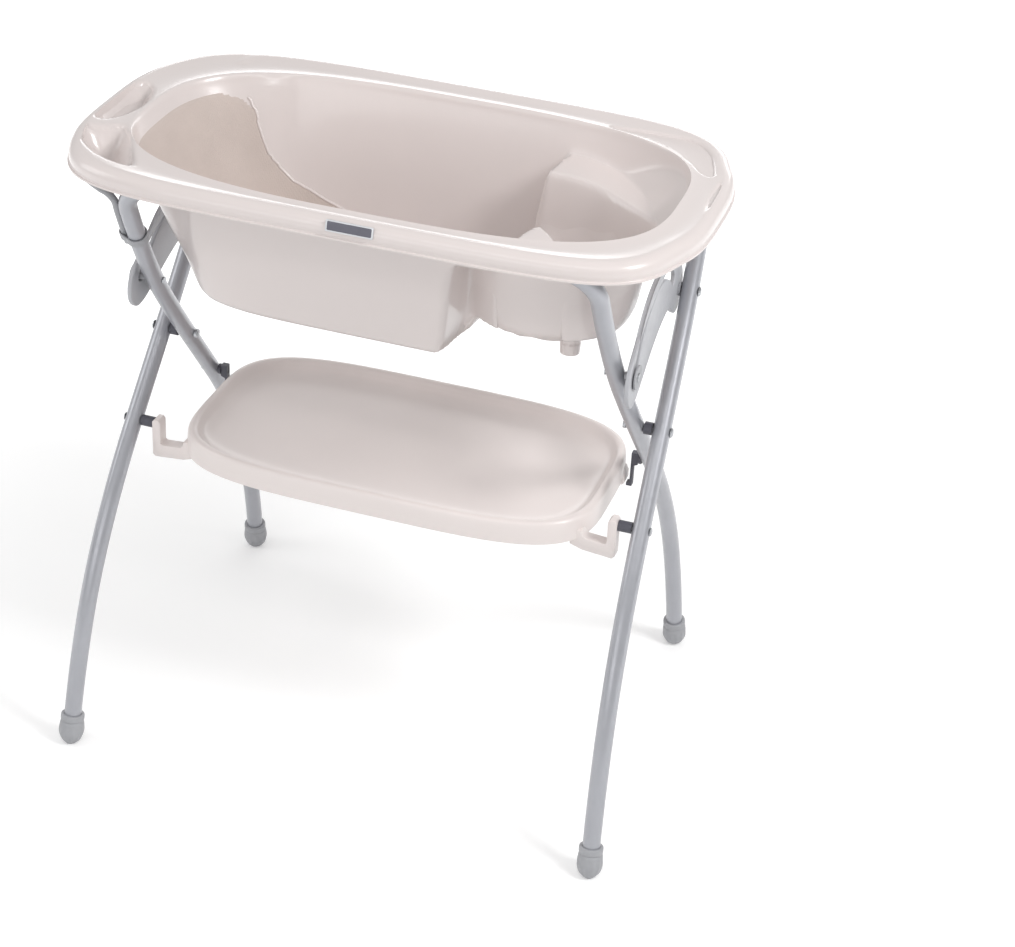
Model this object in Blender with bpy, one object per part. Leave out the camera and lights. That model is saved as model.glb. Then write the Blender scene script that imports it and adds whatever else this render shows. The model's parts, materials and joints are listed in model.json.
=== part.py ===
"""Folding baby-bath stand: two crossed U-frames of round tube, a bath on top and a tray below.

Metres, +Z up, +X to the right along the long side, +Y to the back, origin on the floor in the
middle of the four feet.  The file is the open, standing pose.
"""
import math

import bmesh
import bpy
import numpy as np
from mathutils import Matrix, Vector

for _ob in list(bpy.data.objects):
    bpy.data.objects.remove(_ob, do_unlink=True)

# ------------------------------------------------------------------ driving dimensions
TUBE_R = 0.0125          # frame tube, outside radius
TUBE_WALL = 0.0014       # frame tube, wall
LEG_X = 0.375            # outer frame leg, distance from the middle plane at the cross pivot
FRAME_GAP = 0.0125       # free space between an outer leg and the inner leg beside it
SPLAY = 0.037            # sideways spread of every leg per metre of leg, wider at the floor
LEG_DOWN = 0.6356        # leg length from the cross pivot to the floor
BAR_UP = 0.401           # leg length from the cross pivot to the top bar
BEND_R = 0.058           # corner radius between leg and top bar
# lean from the vertical (degrees) at distances along the leg from the cross pivot
LEG_LEANS = ((-0.66, 9.0), (-0.62, 9.97), (-0.45, 19.32), (-0.30, 31.33), (-0.15, 40.63),
             (0.0, 40.61), (0.12, 38.84), (0.25, 30.7), (0.45, 21.5))
SOLE = 0.0125            # foot rubber under the end of the tube
FOOT_R = 0.0186
FOOT_L = 0.034           # how far a foot reaches up the tube

LINK_S = 0.200           # link pivot along the outer leg
PIN_S = 0.178            # link pin along the inner leg
LINK_T = 0.0065          # link thickness
LINK_TURN = 1.077        # link turn against the outer frame per unit of fold
SLOT_W = 0.016
PIN_R = 0.005
WASHER_R = 0.017
STUD_S = -0.140          # tray studs along both legs
STUD_R = 0.008
STUD_PIN_R = 0.004

SEAT = 0.0003            # gap between pieces that touch
BOLT_R = 0.003
BORE = 0.0002            # radial room of a bolt in its hole

SHELL = 0.003            # bath and tray wall
RIM_OVER = 0.0525        # rim end beyond the outer face of the outer legs
BATH_A, BATH_B = LEG_X + TUBE_R + RIM_OVER, TUBE_R + 0.2375   # bath over its rim, half sizes
BATH_CX, BATH_CY = -0.013, 0.006
OPEN_A, OPEN_B = BATH_A - 0.0625, 0.2035   # half length and half width of the mouth
OPEN_CX = -0.0075
FLOOR_A, FLOOR_B = 0.300, 0.155    # half length and half width where wall meets floor
FLOOR_CX = 0.030
LIP = 0.0265             # height of the rolled rim
DEPTH = 0.2115           # rim top down to the deep floor
SEAT_RISE = 0.040        # seat floor above the deep floor
LEDGE_DROP = 0.0565      # rim top down to the ledge round the seat
SEAT_MID = (0.222, 0.008)          # middle of the seat scoop
SEAT_LIP = 0.032                   # width of the scoop wall
LEDGE_PITCH = 0.9                  # rise of the slope outside the ledge
DRAIN = (0.246, -0.036)

TRAY_A, TRAY_B = LEG_X - 3.0 * TUBE_R - FRAME_GAP - 0.016, 0.1725   # inside the inner legs
TRAY_CY = 0.0145
TRAY_H = 0.034
TRAY_N = 4.0

RAIL_R = 0.005
RAIL_S = 0.285           # rail clip along the inner leg

RING = 16                # facets round a tube


# ------------------------------------------------------------------ materials
def material(name, rgb, rough, metal=0.0):
    """One Principled material."""
    mat = bpy.data.materials.get(name)
    if mat is None:
        mat = bpy.data.materials.new(name)
        mat.use_nodes = True
        bsdf = mat.node_tree.nodes["Principled BSDF"]
        bsdf.inputs["Base Color"].default_value = (*rgb, 1.0)
        bsdf.inputs["Roughness"].default_value = rough
        bsdf.inputs["Metallic"].default_value = metal
        mat.diffuse_color = (*rgb, 1.0)
    return mat


STEEL = ("painted_steel", (0.45, 0.46, 0.49), 0.35, 0.3)
GREY = ("grey_plastic", (0.42, 0.43, 0.46), 0.5)
LINKP = ("link_plastic", (0.55, 0.55, 0.58), 0.45)
DARK = ("dark_plastic", (0.10, 0.10, 0.12), 0.5)
ZINC = ("zinc_fastener", (0.35, 0.36, 0.38), 0.3, 1.0)
BATHP = ("bath_plastic", (0.78, 0.71, 0.68), 0.25)
PADP = ("grip_pad", (0.70, 0.60, 0.52), 0.85)
TRAYP = ("tray_plastic", (0.76, 0.69, 0.66), 0.4)
PLATE = ("badge_plate", (0.75, 0.76, 0.78), 0.4)
PLUGP = ("plug_rubber", (0.80, 0.78, 0.76), 0.6)


# ------------------------------------------------------------------ mesh helpers
def make(name, verts, faces, mat, smooth=True, angle=40.0):
    """A named object from vertices and faces, normals out, sharp edges split by angle."""
    mesh = bpy.data.meshes.new(name)
    mesh.from_pydata([tuple(v) for v in verts], [], [tuple(f) for f in faces])
    mesh.update()
    bm = bmesh.new()
    bm.from_mesh(mesh)
    bmesh.ops.recalc_face_normals(bm, faces=bm.faces)
    lim = math.radians(angle)
    for edge in bm.edges:
        edge.smooth = len(edge.link_faces) == 2 and edge.calc_face_angle(0.0) < lim
    for face in bm.faces:
        face.smooth = smooth
    bm.to_mesh(mesh)
    bm.free()
    ob = bpy.data.objects.new(name, mesh)
    bpy.context.scene.collection.objects.link(ob)
    mesh.materials.append(material(*mat))
    return ob


def mirrored(ob, name):
    """The same piece on the other side of the middle plane."""
    mesh = ob.data.copy()
    mesh.name = name
    bm = bmesh.new()
    bm.from_mesh(mesh)
    for vert in bm.verts:
        vert.co.x = -vert.co.x
    bmesh.ops.reverse_faces(bm, faces=bm.faces)
    bm.to_mesh(mesh)
    bm.free()
    out = bpy.data.objects.new(name, mesh)
    bpy.context.scene.collection.objects.link(out)
    return out


def basis(axis):
    """Two unit vectors square to the axis."""
    axis = Vector(axis).normalized()
    ref = Vector((0.0, 0.0, 1.0)) if abs(axis.z) < 0.9 else Vector((0.0, 1.0, 0.0))
    one = (ref - axis * ref.dot(axis)).normalized()
    return one, axis.cross(one)


def lathe_mesh(profile, base, axis, seg):
    """Rings turned about an axis; profile is (radius, distance along axis), ends on the axis."""
    base = Vector(base)
    axis = Vector(axis).normalized()
    one, two = basis(axis)
    closed = profile[0][0] > 0.0
    verts, rows = [], []
    for rad, dist in profile:
        if rad <= 0.0:
            rows.append([len(verts)])
            verts.append(base + axis * dist)
            continue
        row = []
        for i in range(seg):
            ang = math.tau * (i + 0.5) / seg
            row.append(len(verts))
            verts.append(base + axis * dist + (one * math.cos(ang) + two * math.sin(ang)) * rad)
        rows.append(row)
    if closed:
        rows.append(rows[0])
    faces = []
    for low, high in zip(rows[:-1], rows[1:]):
        for i in range(seg):
            j = (i + 1) % seg
            if len(low) == 1:
                faces.append((low[0], high[j], high[i]))
            elif len(high) == 1:
                faces.append((low[i], low[j], high[0]))
            else:
                faces.append((low[i], low[j], high[j], high[i]))
    return verts, faces


def lathe(name, profile, base, axis, mat, seg=RING):
    return make(name, *lathe_mesh(profile, base, axis, seg), mat)


def ring_profile(r_in, r_out, start, end):
    """Section of a washer, bush or nut."""
    return [(r_in, start), (r_out, start), (r_out, end), (r_in, end)]


def cutter(name, parts):
    """One hidden cutting body made of separate closed pieces."""
    verts, faces = [], []
    for pv, pf in parts:
        base = len(verts)
        verts += list(pv)
        faces += [tuple(i + base for i in f) for f in pf]
    ob = make(name, verts, faces, DARK, smooth=False)
    ob.hide_render = True
    ob.display_type = "WIRE"
    return ob


def boolean(ob, other, kind):
    mod = ob.modifiers.new(kind.lower(), "BOOLEAN")
    mod.operation = kind
    mod.solver = "EXACT"
    mod.object = other


def rod_cut(centre, axis, radius, half):
    """A cylinder for cutting a hole through both walls of a tube."""
    prof = [(0.0, -half), (radius, -half), (radius, half), (0.0, half)]
    return lathe_mesh(prof, centre, axis, 12)


def sweep_mesh(path, r_out, r_in, seg, up):
    """A round tube along a path; r_in of zero gives a solid rod."""
    path = [Vector(p) for p in path]
    verts, outer, inner = [], [], []
    normal = Vector(up)
    for i, point in enumerate(path):
        before = (point - path[i - 1]).normalized() if i else None
        after = (path[i + 1] - point).normalized() if i + 1 < len(path) else None
        tang = (before or after) if not (before and after) else (before + after).normalized()
        normal = (normal - tang * normal.dot(tang)).normalized()
        side = tang.cross(normal)
        for rows, rad in ((outer, r_out), (inner, r_in)):
            if rad <= 0.0:
                continue
            row = []
            for k in range(seg):
                ang = math.tau * (k + 0.5) / seg
                row.append(len(verts))
                verts.append(point + (normal * math.cos(ang) + side * math.sin(ang)) * rad)
            rows.append(row)
    faces = []
    for rows in (outer, inner):
        for low, high in zip(rows[:-1], rows[1:]):
            for k in range(seg):
                j = (k + 1) % seg
                faces.append((low[k], low[j], high[j], high[k]))
    if inner:
        for rowo, rowi in ((outer[0], inner[0]), (outer[-1], inner[-1])):
            for k in range(seg):
                j = (k + 1) % seg
                faces.append((rowo[k], rowo[j], rowi[j], rowi[k]))
    else:
        faces.append(tuple(outer[0]))
        faces.append(tuple(reversed(outer[-1])))
    return verts, faces


def prism_mesh(points, origin, e_u, e_v, e_n, low, high):
    """A flat outline (u, v) drawn out along a normal."""
    origin, e_u, e_v, e_n = (Vector(v) for v in (origin, e_u, e_v, e_n))
    count = len(points)
    verts = [origin + e_u * u + e_v * v + e_n * low for u, v in points]
    verts += [origin + e_u * u + e_v * v + e_n * high for u, v in points]
    faces = [tuple(range(count)), tuple(range(2 * count - 1, count - 1, -1))]
    for i in range(count):
        j = (i + 1) % count
        faces.append((i, j, j + count, i + count))
    return verts, faces


# ------------------------------------------------------------------ leg line
def leg_table():
    """Leg line by adding up small steps along the lean angles; columns s, y, z."""
    low, high = -LEG_DOWN - 0.0244, BAR_UP + 0.059
    steps = np.linspace(low, high, round((high - low) / 0.001) + 1)
    lean = np.radians(np.interp(steps, [p[0] for p in LEG_LEANS], [p[1] for p in LEG_LEANS]))
    size = steps[1] - steps[0]
    mid = 0.5 * (lean[1:] + lean[:-1])
    y = np.concatenate([[0.0], np.cumsum(np.sin(mid) * size)])
    z = np.concatenate([[0.0], np.cumsum(np.cos(mid) * size)])
    return steps, y - np.interp(0.0, steps, y), z - np.interp(0.0, steps, z)


LEG_SS, LEG_YS, LEG_ZS = leg_table()
PIVOT_Z = -float(np.interp(-LEG_DOWN, LEG_SS, LEG_ZS))
INNER_X = LEG_X - 2.0 * TUBE_R - FRAME_GAP


def leg(s, x0, way):
    """Point on a right-hand leg; way is +1 for the outer frame and -1 for the inner frame."""
    y = float(np.interp(s, LEG_SS, LEG_YS))
    z = float(np.interp(s, LEG_SS, LEG_ZS))
    return Vector((x0 - SPLAY * s, way * y, PIVOT_Z + z))


def leg_dir(s, x0, way):
    return (leg(s + 0.004, x0, way) - leg(s - 0.004, x0, way)).normalized()


def frame_path(x0, way):
    """Right foot up the leg, round the corner and along the bar to the left foot."""
    low = -LEG_DOWN + SOLE
    first = low + FOOT_L + 0.006
    stations = [low] + list(np.linspace(first, BAR_UP - BEND_R, 16))
    half = [leg(s, x0, way) for s in stations]
    tang = leg_dir(BAR_UP - BEND_R, x0, way)
    inward = Vector((-1.0, 0.0, 0.0))
    turn = tang.angle(inward)
    side = (inward - tang * inward.dot(tang)).normalized()
    corner = half[-1]
    for k in range(1, 7):
        ang = turn * k / 6
        half.append(corner + tang * (BEND_R * math.sin(ang)) + side * (BEND_R * (1 - math.cos(ang))))
    other = [Vector((-p.x, p.y, p.z)) for p in reversed(half)]
    return half + other


OUTER_PATH = frame_path(LEG_X, 1)
INNER_PATH = frame_path(INNER_X, -1)
BAR_Z = max(p.z for p in OUTER_PATH)
BAR_Y = max(p.y for p in OUTER_PATH)
# each frame turns until the two top bars lie side by side
FOLD = (math.atan2(BAR_Y, BAR_Z - PIVOT_Z)
        - math.asin((TUBE_R + SEAT) / math.hypot(BAR_Y, BAR_Z - PIVOT_Z)))
RIM_Z = BAR_Z + TUBE_R + 0.0004 + SHELL      # rim crown rests on both bars

HEAD = leg(LINK_S, LEG_X, 1)
PIN = leg(PIN_S, INNER_X, -1)
STUD_F = leg(STUD_S, LEG_X, 1)
STUD_B = leg(STUD_S, INNER_X, -1)
PIVOT_OUT = leg(0.0, LEG_X, 1)
PIVOT_IN = leg(0.0, INNER_X, -1)
_td = leg_dir(LINK_S, LEG_X, 1)
LINK_N = Vector((1.0, 0.0, 0.0))
LINK_N = (LINK_N - _td * LINK_N.dot(_td)).normalized()    # link normal, square to the outer leg
LINK_V = LINK_N.cross(Vector((0.0, 1.0, 0.0))).normalized()
LINK_U = LINK_V.cross(LINK_N)                             # nearly +Y; LINK_V is nearly +Z


# ------------------------------------------------------------------ frames
def build_frame(name, path, holes):
    verts, faces = sweep_mesh(path, TUBE_R, TUBE_R - TUBE_WALL, 14, (0.0, 1.0, 0.0))
    tube = make(name, verts, faces, STEEL)
    cuts = []
    for centre, axis, radius in holes:
        for sign in (1.0, -1.0):
            spot = Vector((sign * centre.x, centre.y, centre.z))
            line = Vector((axis[0], sign * axis[1], sign * axis[2]))
            cuts.append(rod_cut(spot, line, radius, TUBE_R + 0.003))
    boolean(tube, cutter(name + "_holes", cuts), "DIFFERENCE")
    return tube


AX = (1.0, 0.0, 0.0)
build_frame("outer_frame_tube", OUTER_PATH,
            [(PIVOT_OUT, AX, BOLT_R + BORE), (HEAD, tuple(LINK_N), BOLT_R + BORE),
             (STUD_F, AX, 0.0025 + BORE)])
build_frame("inner_frame_tube", INNER_PATH,
            [(PIVOT_IN, AX, BOLT_R + BORE), (PIN, AX, 0.0025 + BORE),
             (STUD_B, AX, 0.0025 + BORE)])


# ------------------------------------------------------------------ feet
def build_foot(name, path):
    end = path[0]
    axis = (path[1] - path[0]).normalized()
    prof = [(0.0, -0.0190), (0.0050, -0.0165), (0.0095, -0.0118), (0.0145, -0.0065),
            (0.0176, 0.0010), (FOOT_R, 0.0080), (0.0180, 0.0160), (0.0168, 0.0235),
            (0.0160, 0.0245),
            (0.0160, 0.0255), (0.0168, 0.0262), (0.0168, FOOT_L - 0.001), (0.0160, FOOT_L),
            (TUBE_R + 0.0003, FOOT_L), (TUBE_R + 0.0003, -SEAT), (0.0, -SEAT)]
    verts, faces = lathe_mesh(prof, end, axis, 24)
    ob = make(name, verts, faces, GREY)
    bm = bmesh.new()
    bm.from_mesh(ob.data)
    geom = list(bm.verts) + list(bm.edges) + list(bm.faces)
    cut = bmesh.ops.bisect_plane(bm, geom=geom, plane_co=(0, 0, 0), plane_no=(0, 0, -1),
                                 clear_outer=True, dist=1e-7)
    rim = [e for e in cut["geom_cut"] if isinstance(e, bmesh.types.BMEdge)]
    made = bmesh.ops.contextual_create(bm, geom=rim)
    for face in made["faces"]:
        face.smooth = False
    for edge in rim:
        edge.smooth = False
    bmesh.ops.recalc_face_normals(bm, faces=bm.faces)
    bm.to_mesh(ob.data)
    bm.free()
    return ob


foot_fr = build_foot("foot_front_right", OUTER_PATH)
mirrored(foot_fr, "foot_front_left")
foot_br = build_foot("foot_back_right", INNER_PATH)
mirrored(foot_br, "foot_back_left")


# ------------------------------------------------------------------ cross pivots
def seat(radius):
    """Gap that clears a spread leg under a round face of this radius."""
    return SEAT + radius * SPLAY


def both(ob, stem):
    mirrored(ob, stem + "_left")


sp_r = 0.009
span = (INNER_X + TUBE_R + seat(sp_r), LEG_X - TUBE_R - seat(sp_r))
both(lathe("pivot_spacer_right", ring_profile(BOLT_R + BORE, sp_r, *span),
           (0, 0, PIVOT_Z), AX, DARK), "pivot_spacer")
nut_end = INNER_X - TUBE_R - seat(0.0065)
both(lathe("pivot_nut_right", ring_profile(BOLT_R + BORE, 0.0065, nut_end - 0.004, nut_end),
           (0, 0, PIVOT_Z), AX, ZINC, 6 * 2), "pivot_nut")
head = LEG_X + TUBE_R + seat(0.0070)
both(lathe("pivot_bolt_right",
           [(0.0, nut_end - 0.0046), (BOLT_R, nut_end - 0.0046), (BOLT_R, head), (0.0070, head),
            (0.0068, head + 0.0010), (0.0045, head + 0.0026), (0.0, head + 0.0030)],
           (0, 0, PIVOT_Z), AX, ZINC), "pivot_bolt")


# ------------------------------------------------------------------ links
def turn_yz(vec, ang):
    """Turn (y, z) by the right-hand rule about +X."""
    return (vec[0] * math.cos(ang) - vec[1] * math.sin(ang),
            vec[0] * math.sin(ang) + vec[1] * math.cos(ang))


def slot_path(count):
    """Where the pin runs inside the link while the stand folds, in the link's standing pose."""
    out = []
    base = PIVOT_Z
    for k in range(count + 1):
        ang = FOLD * k / count
        hy, hz = turn_yz((HEAD.y, HEAD.z - base), ang)
        py, pz = turn_yz((PIN.y, PIN.z - base), -ang)
        out.append(turn_yz((py - hy, pz - hz), -ang * (1.0 + LINK_TURN)))
    return out


def widen(path, half):
    """Outline of a round-ended slot round a path."""
    left, right = [], []
    for i, point in enumerate(path):
        a = path[max(i - 1, 0)]
        b = path[min(i + 1, len(path) - 1)]
        dy, dz = b[0] - a[0], b[1] - a[1]
        size = math.hypot(dy, dz)
        ny, nz = -dz / size, dy / size
        left.append((point[0] + ny * half, point[1] + nz * half))
        right.append((point[0] - ny * half, point[1] - nz * half))

    def cap(point, frm):
        start = math.atan2(frm[1] - point[1], frm[0] - point[0])
        return [(point[0] + half * math.cos(start - math.pi * k / 6),
                 point[1] + half * math.sin(start - math.pi * k / 6)) for k in range(1, 6)]
    return left + cap(path[-1], left[-1]) + right[::-1] + cap(path[0], right[0])


def round_out(points, count):
    """Closed smooth curve through points (Catmull-Rom)."""
    out = []
    size = len(points)
    for i in range(size):
        p0, p1, p2, p3 = (np.array(points[(i + k - 1) % size]) for k in range(4))
        for k in range(count):
            t = k / count
            out.append(tuple(0.5 * ((2 * p1) + (p2 - p0) * t + (2 * p0 - 5 * p1 + 4 * p2 - p3) * t * t
                                    + (3 * p1 - p0 - 3 * p2 + p3) * t ** 3)))
    return out


# link outline round its pivot, drawn as it hangs when folded, then swung to the standing pose
LINK_HANG = ((0.0240, -0.0110), (0.0190, 0.0090), (0.0030, 0.0210), (-0.0180, 0.0240),
             (-0.0420, 0.0190), (-0.0640, 0.0050), (-0.0810, -0.0210), (-0.0950, -0.0560),
             (-0.1070, -0.1010), (-0.1120, -0.1380), (-0.1120, -0.1780), (-0.1060, -0.2250),
             (-0.0920, -0.2490), (-0.0680, -0.2590), (-0.0470, -0.2510), (-0.0390, -0.2300),
             (-0.0380, -0.1950), (-0.0380, -0.1450), (-0.0330, -0.0960), (-0.0190, -0.0540),
             (0.0030, -0.0400), (0.0180, -0.0290))
SWING = -FOLD * (1.0 + LINK_TURN)


def build_link():
    outline = [turn_yz(p, SWING) for p in round_out(LINK_HANG, 2)]
    body = prism_mesh(outline, HEAD, LINK_U, LINK_V, LINK_N,
                      -TUBE_R - 0.5 * FRAME_GAP - 0.5 * LINK_T,
                      -TUBE_R - 0.5 * FRAME_GAP + 0.5 * LINK_T)
    ob = make("fold_link_right", *body, LINKP, smooth=False)
    path = slot_path(8)
    start = path[0]
    along = (path[0][0] - path[2][0], path[0][1] - path[2][1])
    size = math.hypot(*along)
    along = (along[0] / size, along[1] / size)
    notch_c = (start[0] - along[1] * -0.006, start[1] + along[0] * -0.006)
    notch = [(notch_c[0] + 0.009 * math.cos(math.tau * k / 12),
              notch_c[1] + 0.009 * math.sin(math.tau * k / 12)) for k in range(12)]
    deep = (-TUBE_R - FRAME_GAP - 0.006, -TUBE_R + 0.006)
    slot = cutter("fold_link_slot", [prism_mesh(widen(path, 0.5 * SLOT_W), HEAD, LINK_U, LINK_V,
                                                LINK_N, *deep)])
    side = cutter("fold_link_notch", [prism_mesh(notch, HEAD, LINK_U, LINK_V, LINK_N, *deep)])
    bore = cutter("fold_link_bore", [rod_cut(HEAD - LINK_N * (TUBE_R + 0.5 * FRAME_GAP), LINK_N,
                                             BOLT_R + BORE, 0.008)])
    for tool in (slot, side, bore):
        boolean(ob, tool, "DIFFERENCE")
    dep = bpy.context.evaluated_depsgraph_get()
    done = bpy.data.meshes.new_from_object(ob.evaluated_get(dep))
    ob.modifiers.clear()
    ob.data = done
    ob.data.name = "fold_link_right"
    for tool in (slot, side, bore):
        bpy.data.objects.remove(tool, do_unlink=True)
    return ob


both(build_link(), "fold_link")
link_in = -TUBE_R - 0.5 * FRAME_GAP - 0.5 * LINK_T
link_out = -TUBE_R - 0.5 * FRAME_GAP + 0.5 * LINK_T
both(lathe("link_bush_right", ring_profile(BOLT_R + BORE, 0.010, link_out + SEAT,
                                           -TUBE_R - SEAT), HEAD, LINK_N, GREY), "link_bush")
both(lathe("link_nut_right", ring_profile(BOLT_R + BORE, 0.0065, link_in - SEAT - 0.0035,
                                          link_in - SEAT), HEAD, LINK_N, ZINC, 12), "link_nut")
hd = TUBE_R + SEAT
both(lathe("link_bolt_right",
           [(0.0, link_in - 0.0042), (BOLT_R, link_in - 0.0042), (BOLT_R, hd), (0.0070, hd),
            (0.0068, hd + 0.0010), (0.0045, hd + 0.0026), (0.0, hd + 0.0030)],
           HEAD, LINK_N, ZINC), "link_bolt")

# pin that rides in the slot: bush, washer and rivet on the inner leg
tilt = abs(LINK_N.dot(PIN - HEAD) / LINK_N.x + TUBE_R + 0.5 * FRAME_GAP)
wash = TUBE_R + 0.5 * FRAME_GAP + 0.5 * LINK_T + 0.0070
both(lathe("pin_bush_right", ring_profile(0.0025 + BORE, PIN_R, TUBE_R + seat(PIN_R),
                                          wash - SEAT), PIN, AX, GREY), "pin_bush")
both(lathe("pin_washer_right", ring_profile(0.0025 + BORE, WASHER_R, wash, wash + 0.0022),
           PIN, AX, GREY, 24), "pin_washer")
both(lathe("pin_rivet_right",
           [(0.0, -TUBE_R - 0.0024), (0.0050, -TUBE_R - 0.0020), (0.0050, -TUBE_R - seat(0.0050)),
            (0.0025, -TUBE_R - seat(0.0050)), (0.0025, wash + 0.0025), (0.0063, wash + 0.0025),
            (0.0060, wash + 0.0036), (0.0, wash + 0.0044)], PIN, AX, ZINC), "pin_rivet")


# ------------------------------------------------------------------ tray studs and catches
def stud_body(name, spot, length, pin_end, stem):
    """Stepped stud on the inner side of a leg, bored for its screw."""
    face = -TUBE_R - seat(STUD_R)
    prof = [(0.0, face - 0.008), (0.0025 + BORE, face - 0.008), (0.0025 + BORE, face),
            (STUD_R, face), (STUD_R, face - length), (STUD_PIN_R, face - length),
            (STUD_PIN_R, pin_end), (0.0, pin_end)]
    both(lathe(name, prof, spot, AX, DARK), stem)
    top = TUBE_R + seat(0.0060)
    both(lathe(name.replace("stud", "stud_screw"),
               [(0.0, face - 0.0074), (0.0025, face - 0.0074), (0.0025, top), (0.0060, top),
                (0.0056, top + 0.0012), (0.0, top + 0.0020)], spot, AX, ZINC, 12),
         stem.replace("stud", "stud_screw"))
    return face


PRONG = (TRAY_A + 0.026, TRAY_A + 0.039)           # tray hook prong, x from and to
front_len = STUD_F.x - TUBE_R - seat(STUD_R) - (PRONG[1] + SEAT)
stud_body("front_stud_right", STUD_F, front_len, PRONG[0] - STUD_F.x + 0.0005, "front_stud")
CATCH = (TRAY_A + 0.0058, TRAY_A + 0.0156)         # catch block, x from and to
back_len = STUD_B.x - TUBE_R - seat(STUD_R) - (CATCH[1] + SEAT)
stud_body("rear_stud_right", STUD_B, back_len, CATCH[0] - STUD_B.x + 0.0005, "rear_stud")


def build_catch():
    top = STUD_B.z
    pts = [(CATCH[0], top + 0.009), (CATCH[0], top - 0.041), (TRAY_A + 0.0012, top - 0.041),
           (TRAY_A + 0.0012, top - 0.046), (CATCH[0] + 0.0035, top - 0.046), (CATCH[0] + 0.0035, top - 0.012),
           (CATCH[1], top - 0.009), (CATCH[1], top + 0.009)]
    body = prism_mesh(pts, (0.0, STUD_B.y, 0.0), (1, 0, 0), (0, 0, 1), (0, -1, 0), -0.005, 0.005)
    ob = make("tray_catch_right", *body, DARK, smooth=False)
    mid = Vector((0.5 * sum(CATCH), STUD_B.y, top))
    tool = cutter("tray_catch_bore", [rod_cut(mid, AX, STUD_PIN_R + BORE, 0.008)])
    boolean(ob, tool, "DIFFERENCE")
    dep = bpy.context.evaluated_depsgraph_get()
    done = bpy.data.meshes.new_from_object(ob.evaluated_get(dep))
    ob.modifiers.clear()
    ob.data = done
    bpy.data.objects.remove(tool, do_unlink=True)
    return ob


both(build_catch(), "tray_catch")


# ------------------------------------------------------------------ ring outlines
def super_dir(t, n):
    """Point of a unit rounded rectangle in direction t."""
    c, s = math.cos(t), math.sin(t)
    size = (abs(c) ** n + abs(s) ** n) ** (1.0 / n)
    return c / size, s / size


def smooth(x):
    x = min(max(x, 0.0), 1.0)
    return x * x * (3.0 - 2.0 * x)


def soft_max(a, b, width):
    h = max(width - abs(a - b), 0.0) / width
    return max(a, b) + h * h * width * 0.25


# ------------------------------------------------------------------ tray
def build_tray():
    top_z = STUD_F.z + 0.0035
    low_z = top_z - TRAY_H
    count = 48
    rows = [(0.0000, top_z - 0.007), (0.0015, top_z - 0.0015), (0.0060, top_z),
            (0.0110, top_z - 0.002), (0.0180, top_z - 0.010), (0.0280, top_z - 0.0165),
            (0.0450, top_z - 0.0195), (0.0900, top_z - 0.0200)]
    under = [(0.0000, low_z), (0.0032, low_z), (0.0032, top_z - 0.008), (0.0060, top_z - SHELL),
             (0.0105, top_z - 0.0055), (0.0170, top_z - 0.0135), (0.0275, top_z - 0.0198),
             (0.0450, top_z - 0.0225), (0.0900, top_z - 0.0230)]
    verts, grid = [], []

    def ring(inset, z):
        row = []
        for i in range(count):
            c, s = super_dir(math.tau * i / count, TRAY_N)
            row.append(len(verts))
            verts.append((c * (TRAY_A - inset), TRAY_CY + s * (TRAY_B - inset), z))
        return row
    for inset, z in rows[::-1]:
        grid.append(ring(inset, z))
    for inset, z in under:
        grid.append(ring(inset, z))
    faces = []
    for low, high in zip(grid[:-1], grid[1:]):
        for i in range(count):
            j = (i + 1) % count
            faces.append((low[i], low[j], high[j], high[i]))
    for row, z in ((grid[0], rows[-1][1]), (grid[-1], under[-1][1])):
        mid = len(verts)
        verts.append((0.0, TRAY_CY, z))
        for i in range(count):
            faces.append((row[i], row[(i + 1) % count], mid))
    tray = make("tray", verts, faces, TRAYP)
    arms = []
    root, end = TRAY_A - 0.026, TRAY_A - 0.023
    hook = [(root, low_z - 0.010), (TRAY_A - 0.009, low_z - 0.016), (PRONG[1], low_z - 0.020),
            (PRONG[1], STUD_F.z + 0.010), (PRONG[0], STUD_F.z + 0.010), (PRONG[0], low_z + 0.001),
            (TRAY_A - 0.007, low_z + 0.003), (TRAY_A - 0.010, low_z + 0.014),
            (root, low_z + 0.014)]
    lug = [(end, low_z - 0.010), (TRAY_A + 0.0002, low_z - 0.012),
           (TRAY_A + 0.0002, low_z + 0.002), (TRAY_A - 0.004, low_z + 0.010),
           (end, low_z + 0.012)]
    for side in (1.0, -1.0):
        arms.append(prism_mesh([(side * x, z) for x, z in hook], (0, STUD_F.y, 0), (1, 0, 0),
                               (0, 0, 1), (0, -side, 0), -0.010, 0.010))
        arms.append(prism_mesh([(side * x, z) for x, z in lug], (0, STUD_B.y, 0), (1, 0, 0),
                               (0, 0, 1), (0, -side, 0), -0.013, 0.013))
    boolean(tray, cutter("tray_hooks", arms), "UNION")
    bores = [rod_cut(Vector((side * 0.5 * sum(PRONG), STUD_F.y, STUD_F.z)), AX,
                     STUD_PIN_R + BORE, 0.011) for side in (1.0, -1.0)]
    boolean(tray, cutter("tray_hook_bores", bores), "DIFFERENCE")
    return tray


build_tray()

# ------------------------------------------------------------------ bath
BATH_T = [math.tau * k / 64 for k in range(64)]
BATH_T[48] = math.radians(268.05)      # left edge of the badge
BATH_T[49] = math.radians(276.66)      # right edge of the badge
FLOOR_Z = RIM_Z - DEPTH
LEDGE_Z = RIM_Z - LEDGE_DROP


def rim_power(t):
    """Fullness of the rim: rounder over the ends, squarer along the long sides."""
    c, s = math.cos(t), math.sin(t)
    w = smooth((abs(s) - 0.56) / 0.20)
    if s < 0.0:
        return 3.8 + 1.2 * w if c < 0.0 else 3.3 + 1.7 * w
    return 3.2 + 0.8 * w if c < 0.0 else 3.2 + 1.6 * w


def table(turn, pairs):
    """Straight-line look-up of a radius by direction in degrees."""
    return float(np.interp(turn, [p[0] for p in pairs], [p[1] for p in pairs]))


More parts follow.
